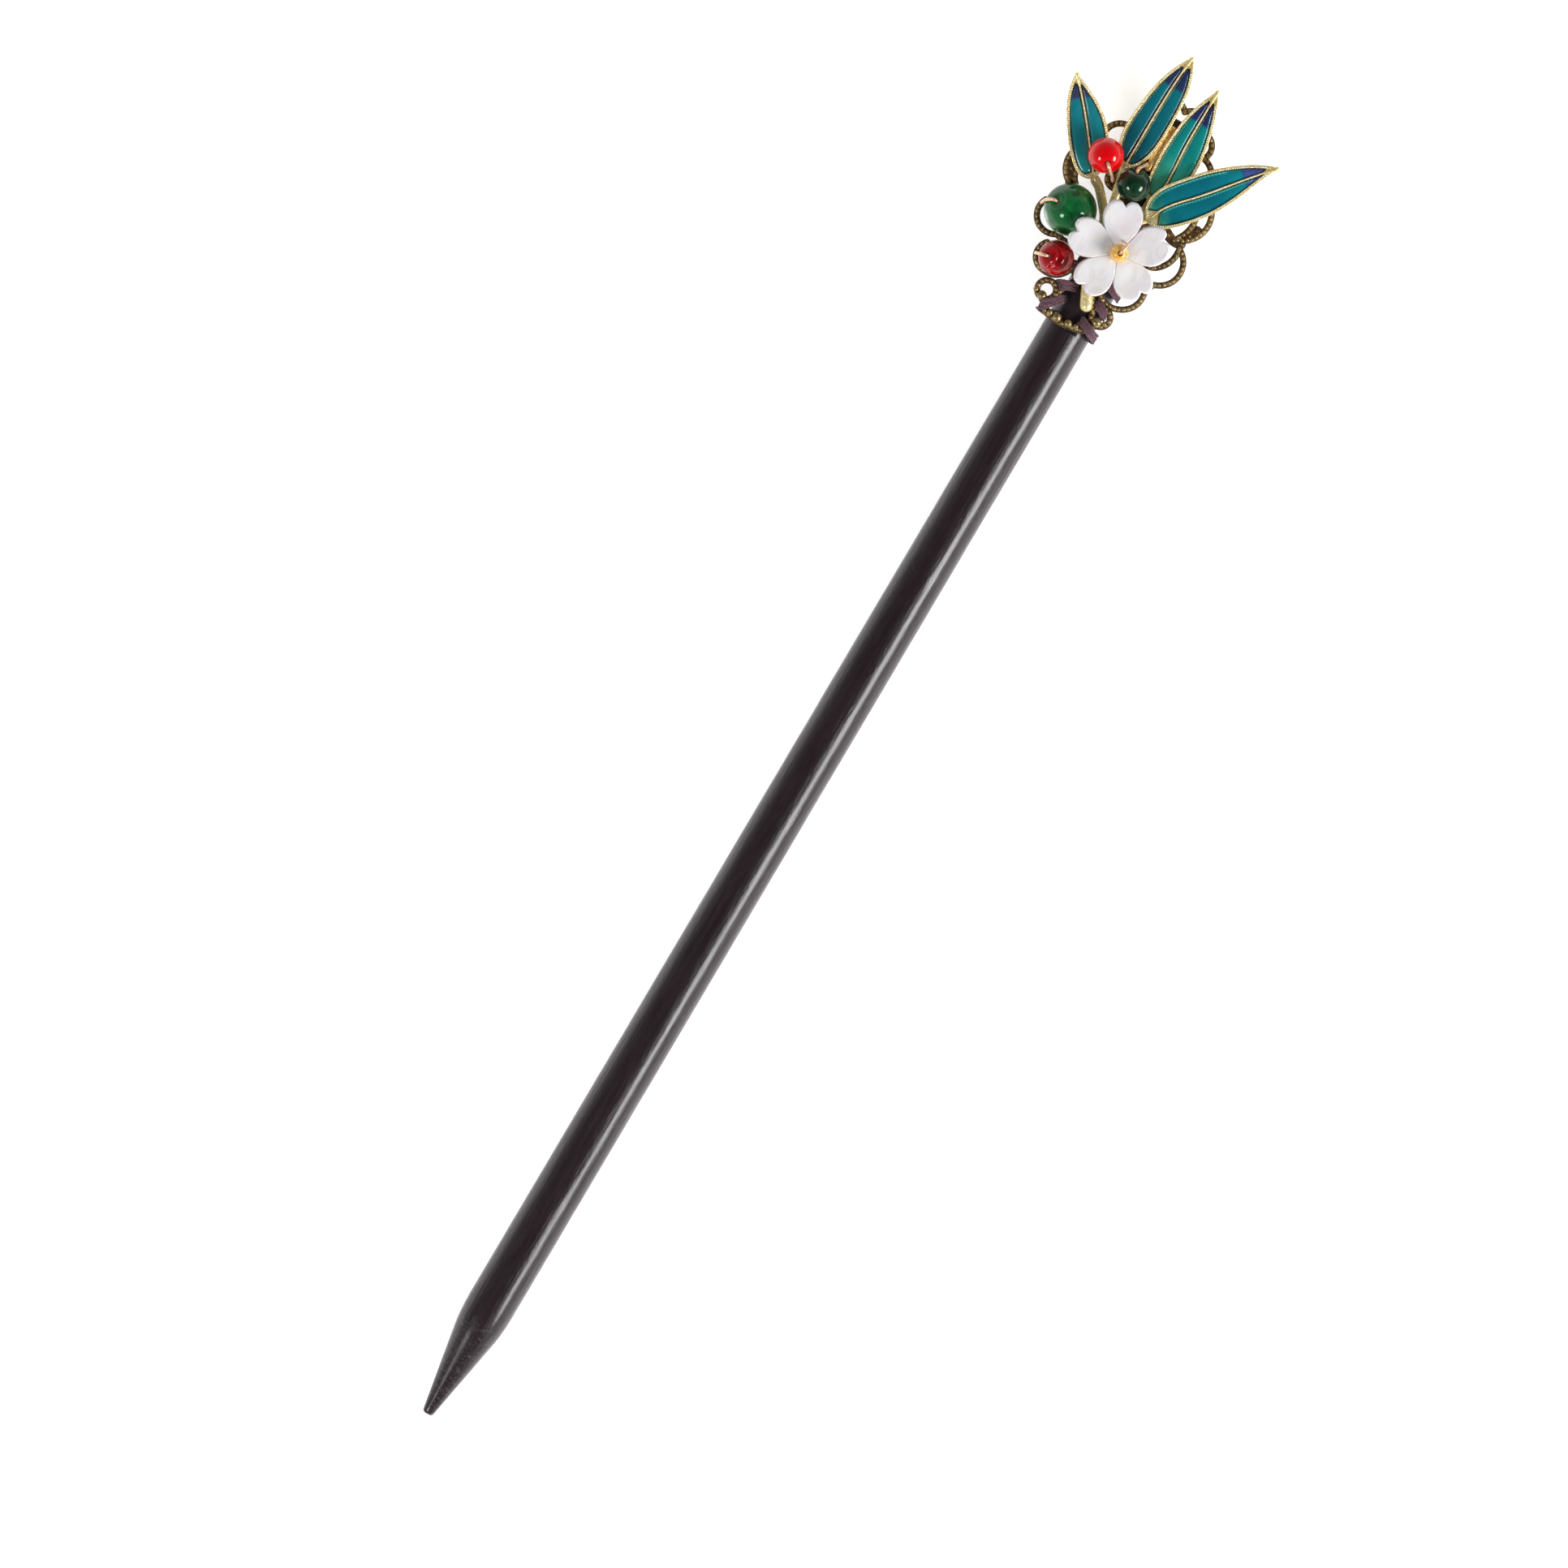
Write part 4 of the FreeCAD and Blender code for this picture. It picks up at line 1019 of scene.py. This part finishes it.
def bead_shell(radius, dimple, lip, swirl=0.0):
    """Drilled ball round the upright axis, sunk a little round its hole, with a faint spiral."""
    rings, count = 72, 80
    first = math.asin(HOLE_RADIUS / radius)
    rows = []
    for i in range(rings):
        t = first + (math.pi - 2 * first) * i / (rings - 1)
        row = []
        for k in range(count):
            turn = 2 * math.pi * k / count
            size = radius
            for end in (t, math.pi - t):
                near = max(0.0, 1 - (end - first) / lip)
                size -= dimple * near ** 2 * (1.0 if end is t else 0.6)
            near = max(0.0, 1 - abs(t - first - 0.42 - 0.05 * turn) / 0.16)
            size -= swirl * near * near * (0.5 + 0.5 * math.cos(turn - 0.9))
            side = math.sin(t) * size
            row.append(Vector((side * math.cos(turn), side * math.sin(turn), math.cos(t) * size)))
        rows.append(row)
    shell = Shell()
    shell.grid(rows, close_columns=True)
    bore = [[Vector((p.x * 0.92, p.y * 0.92, p.z * 0.93)) for p in rows[end]] for end in (0, -1)]
    shell.grid([rows[0], *bore, rows[-1]], close_columns=True)
    return shell


# Painted light on the beads: pale spots of painted reflection and light seen through the glass (thin)
# and dark spots of painted reflection and shade (deep): a way out from the bead's centre, how far the
# spot reaches from it, how far a hole in its middle does, and its strength
BEAD_PAINTED_LIGHT = {
    "green_bead_large": {
        "thin": (((-0.68, -0.7, 0.2), 0.34, 0.0, 0.75), ((-0.46, -0.88, 0.1), 0.26, 0.0, 0.75),
                 ((-0.9, -0.42, 0.1), 0.26, 0.0, 0.7), ((-0.66, 0.05, 0.75), 0.44, 0.33, 0.3)),
        "deep": (((-0.13, 0.6, 0.79), 0.2, 0.0, 0.7), ((0.2, -0.84, 0.5), 0.3, 0.0, 0.8)),
    },
    "red_bead_lower": {
        "thin": (((-0.45, -0.1, 0.88), 0.5, 0.36, 0.4), ((-0.85, 0.35, 0.4), 0.35, 0.0, 0.2)),
        "deep": (((0.5, -0.1, 0.85), 0.5, 0.0, 0.5), ((-0.3, -0.1, 0.95), 0.22, 0.0, 0.4)),
    },
    "red_bead_upper": {
        "thin": (((-0.8, 0.5, 0.3), 0.4, 0.0, 0.2),),
        "deep": (((0.4, -0.6, 0.7), 0.3, 0.16, 0.3),),
    },
    "green_bead_small": {
        "thin": (((-0.1, 0.8, 0.6), 0.42, 0.26, 0.35),),
        "deep": (((0.7, 0.4, 0.6), 0.5, 0.0, 0.6),),
    },
}


def spot_value(way, rows):
    """Strength of the painted light at a place on a bead, from its spots and rings."""
    value = 0.0
    for middle, reach, hole, strength in rows:
        away = (way.normalized() - Vector(middle).normalized()).length
        outside = max(0.0, min(1.0, (reach - away) / (0.5 * reach)))
        inside = max(0.0, min(1.0, (away - hole) / 0.08)) if hole else 1.0
        value = max(value, strength * outside * inside)
    return value


def bead_pieces():
    """The four glass beads and the seed bead in the flower's eye."""
    # Material, slot, depth and reach of the dimple round the hole, depth of the spiral
    looks = {
        "red_bead_upper": (RED_GLASS, "red_glass", 0.1, 0.5, 0.0),
        "red_bead_lower": (DEEP_RED_GLASS, "red_glass", 0.16, 0.55, 0.16),
        "green_bead_large": (GREEN_GLASS, "green_glass", 0.3, 0.62, 0.0),
        "green_bead_small": (DARK_GREEN_GLASS, "green_glass", 0.12, 0.5, 0.0),
    }
    for name, (centre, radius, leaving) in BEADS.items():
        material, slot, dimple, lip, swirl = looks[name]
        x, y = leaving
        hole = Vector((x, y, math.sqrt(radius ** 2 - x ** 2 - y ** 2)))
        shell = bead_shell(radius - 0.01, dimple, lip, swirl)
        turn = hole.to_track_quat("Z", "Y").to_matrix().to_4x4()
        shell.change(Matrix.Translation(Vector(centre)) @ turn)
        # Painted reflection and shade on each bead, from the spots in the table above
        for paint, rows in BEAD_PAINTED_LIGHT.get(name, {}).items():
            shell.painted(paint, [spot_value((point - Vector(centre)) / radius, rows)
                                  for point in shell.points])
        shell.piece(name + "_glass", material, slot, [name], sharp=60, weld=0.001)
    shell = bead_shell(CENTRE_BEAD_RADIUS, 0.04, 0.5)
    shell.change(flower_place() @ Matrix.Translation(UP * CENTRE_BEAD_Z))
    shell.piece("flower_centre_glass", AMBER_GLASS, "amber_glass", ["flower_centre_bead"],
                sharp=60, weld=0.001)


# Flower

def flower_place():
    return Matrix.Translation(FLOWER_CENTRE) @ Matrix.Rotation(math.radians(FLOWER_TILT), 4, "Y")


# How far a petal reaches at angles from its notch, in degrees and millimetres
PETAL_OUTLINE = (
    (0.0, 5.75), (1.2, 5.82), (4.0, 6.22), (7.0, 6.42), (12.5, 6.44), (17.4, 6.2),
    (22.0, 5.85), (26.0, 5.45), (29.6, 4.98), (32.5, 4.42), (34.5, 3.9), (36.0, 3.5),
)
# Each petal: how far its notch is turned from its middle, and its length beside the outline's
PETAL_FORMS = ((5.5, 1.0), (-1.0, 1.005), (-2.5, 0.985), (-2.0, 0.965), (3.0, 0.965))


def petal_reach(angle, turned, length):
    """How far a petal reaches at an angle from its own middle, in degrees."""
    own = abs(angle - turned * (1 - abs(angle) / 36))
    angles, reaches = zip(*PETAL_OUTLINE)
    return float(np.interp(own, angles, reaches)) * length


# Depth, middle and reach of a petal's cup; depth and reach of the seams' groove and shoulder, of
# the rolled rim and of the sunk eye; radius of the hole for the wire
CUP_DEPTH, CUP_MIDDLE, CUP_REACH = 0.4, 3.6, 1.9
SEAM_DEPTH, GROOVE_REACH, SHOULDER_REACH = 0.3, 0.16, 0.6
ROLL_DEPTH, ROLL_REACH = 0.45, 0.3
EYE_DEPTH, EYE_REACH = 0.45, 1.15
EYE_HOLE = 0.45


def flower_piece():
    """Five cupped petals with rounded rims, seams between them and a sunk eye."""
    around, rings = 540, 36
    rows, under = [], []
    for i in range(rings):
        share = (i / (rings - 1)) ** 0.9
        row = []
        for k in range(around):
            angle = 360 * k / around
            own = (angle - FIRST_PETAL_ANGLE + 36) % 72 - 36
            number = int((angle - FIRST_PETAL_ANGLE + 36) % 360 // 72)
            reach = petal_reach(own, *PETAL_FORMS[number])
            r = EYE_HOLE + (reach - EYE_HOLE) * share
            to_edge = (reach - r) * (1.0 if abs(own) < 20 else 0.7)
            seam = r * math.radians(36 - abs(own))
            cup = CUP_DEPTH * math.exp(-((r - CUP_MIDDLE) / CUP_REACH) ** 2)
            cup = max(cup * math.cos(math.radians(own * 2.1)), 0.0)
            groove = SEAM_DEPTH * math.exp(-(seam / GROOVE_REACH) ** 2)
            shoulder = SEAM_DEPTH * math.exp(-(seam / SHOULDER_REACH) ** 2)
            roll = ROLL_DEPTH * max(0.0, 1 - to_edge / ROLL_REACH) ** 2
            eye = EYE_DEPTH * math.exp(-(r / EYE_REACH) ** 2)
            ripple = 0.015 * noise.noise(Vector((r * 0.5, own * 0.07, number)))
            height = FLOWER_THICKNESS - cup - max(groove, shoulder * 0.5) - roll - eye + ripple
            t = math.radians(angle)
            row.append(Vector((r * math.cos(t), r * math.sin(t), max(height, 0.35))))
        rows.append(row)
    for share, height in ((0.997, 0.4), (0.99, 0.2), (0.975, 0.06), (0.95, 0.0)):
        under.append([Vector((p.x * share, p.y * share, height)) for p in rows[-1]])
    bore = [Vector((p.x, p.y, 0.0)) for p in rows[0]]
    shell = Shell()
    shell.grid(rows + under + [bore, rows[0]], close_columns=True)
    shell.change(flower_place())
    shell.piece("flower_petals", PEARL, "mother_of_pearl", ["shell_flower"], sharp=70,
                weld=0.001)


# Thread

THREAD_OFFSETS = (-0.48, -0.24, 0.0, 0.24, 0.48)
# Radius of a ply, how far it lies from the thread's middle, and the length of one full twist
PLY_RADIUS, PLY_OUT, TWIST = 0.09, 0.06, 0.5


def lashing_piece(name, row):
    """Side-by-side twisted threads that go round the back and over the plate."""
    back, left, right = row
    turn = []
    reach = STICK_RADIUS + 0.25
    for step in range(13):
        t = math.radians(100 + 160 * step / 12)
        x, z = math.sin(t) * reach, AXIS_Z + math.cos(t) * reach
        turn.append(Vector((x, back, max(z, 0.27))))
    path = [Vector(p) for p in reversed(right)] + turn + [Vector(p) for p in left]
    line = natural_spline(path, 420)
    shell = Shell()
    for offset in THREAD_OFFSETS:
        for phase in (0.0, math.pi):
            strand = []
            gone = 0.0
            for i, place in enumerate(line):
                ahead = ahead_at(line, i)
                gone += (place - line[max(i - 1, 0)]).length
                level = Vector((ahead.x, ahead.y, 0.0))
                level = level.normalized() if level.length > 0.3 else Vector((1.0, 0.0, 0.0))
                across = Vector((-level.y, level.x, 0.0))
                across = -across if across.y < 0 else across
                out = ahead.cross(across).normalized()
                t = gone / TWIST * 2 * math.pi + phase + offset * 9
                wide = offset * (1.0 + 0.12 * math.sin(gone * 0.9 + offset * 7))
                lift = 0.04 * math.sin(gone * 1.7 + offset * 11)
                wide, lift = wide + PLY_OUT * math.cos(t), lift + PLY_OUT * math.sin(t)
                strand.append(place + across * wide + out * lift)
            round_sweep(shell, strand, PLY_RADIUS, sides=6)
    shell.piece(name + "_threads", THREAD, "dark_thread", [name])


# Studio

LIGHTS_AIM = (0.0, 0.03, 0.0)
# Brightness of the sky from the horizon to straight above
SKY = ((0.0, 0.75), (0.25, 0.42), (0.6, 0.16), (0.85, 0.06), (1.0, 0.04))


def light(name, place, size, power, gloss=True):
    data = bpy.data.lights.new(name, "AREA")
    data.shape = "ELLIPSE"
    data.size, data.size_y = size
    data.energy = power
    made = bpy.data.objects.new(name, data)
    made.visible_glossy = gloss
    made.location = place
    made.rotation_euler = (Vector(LIGHTS_AIM) - Vector(place)).to_track_quat("-Z", "Y").to_euler()
    scene.collection.objects.link(made)


def studio():
    """Floor, soft sky, two softboxes, a fill light and the camera over the part."""
    mesh = bpy.data.meshes.new("floor")
    side = 6.0
    corners = [(-side, -side, 0), (side, -side, 0), (side, side, 0), (-side, side, 0)]
    mesh.from_pydata(corners, [], [(0, 1, 2, 3)])
    mesh.materials.append(floor_look())
    floor = bpy.data.objects.new("floor", mesh)
    floor.location.z = -0.00002
    scene.collection.objects.link(floor)

    world = bpy.data.worlds.new("studio")
    scene.world = world
    world.use_nodes = True
    tree = world.node_tree
    place = tree.nodes.new("ShaderNodeTexCoord")
    parts = tree.nodes.new("ShaderNodeSeparateXYZ")
    tree.links.new(place.outputs["Generated"], parts.inputs[0])
    sky = colour_ramp(tree, parts.outputs["Z"], [(z, (v, v, v, 1.0)) for z, v in SKY])
    tree.links.new(sky, tree.nodes["Background"].inputs["Color"])

    light("right_softbox", (0.82, 0.06, 0.55), (0.52, 0.34), 7.3)
    light("near_softbox", (-0.36, -0.6, 0.72), (0.38, 0.3), 3.5)
    light("overhead_fill", (0.1, 0.1, 1.3), (1.4, 1.4), 2.6, gloss=False)

    camera = bpy.data.cameras.new("camera")
    camera.lens = 378.3
    camera.sensor_width = 36.0
    camera.clip_start, camera.clip_end = 0.1, 50.0
    made = bpy.data.objects.new("camera", camera)
    made.location = (-0.00012, -0.0066, 2.0 + 0.006)
    made.rotation_euler = (0.0, 0.0, math.radians(30.57))
    scene.collection.objects.link(made)
    scene.camera = made
    scene.view_settings.view_transform = "Standard"


def dress_nodes():
    """Carried-over solids get their own finish."""
    for name, node in nodes.items():
        if node.hide_render:
            continue
        material = ROSE_GOLD if name.endswith("_wire") else GILT
        node.data.materials.clear()
        node.data.materials.append(material)


stick_piece()
plate_pieces()
leaf_beading()
web_bar()
branch_edges()
enamel_pieces()
bead_pieces()
flower_piece()
for lashing_name, lashing_row in LASHINGS.items():
    lashing_piece(lashing_name, lashing_row)
dress_nodes()
studio()
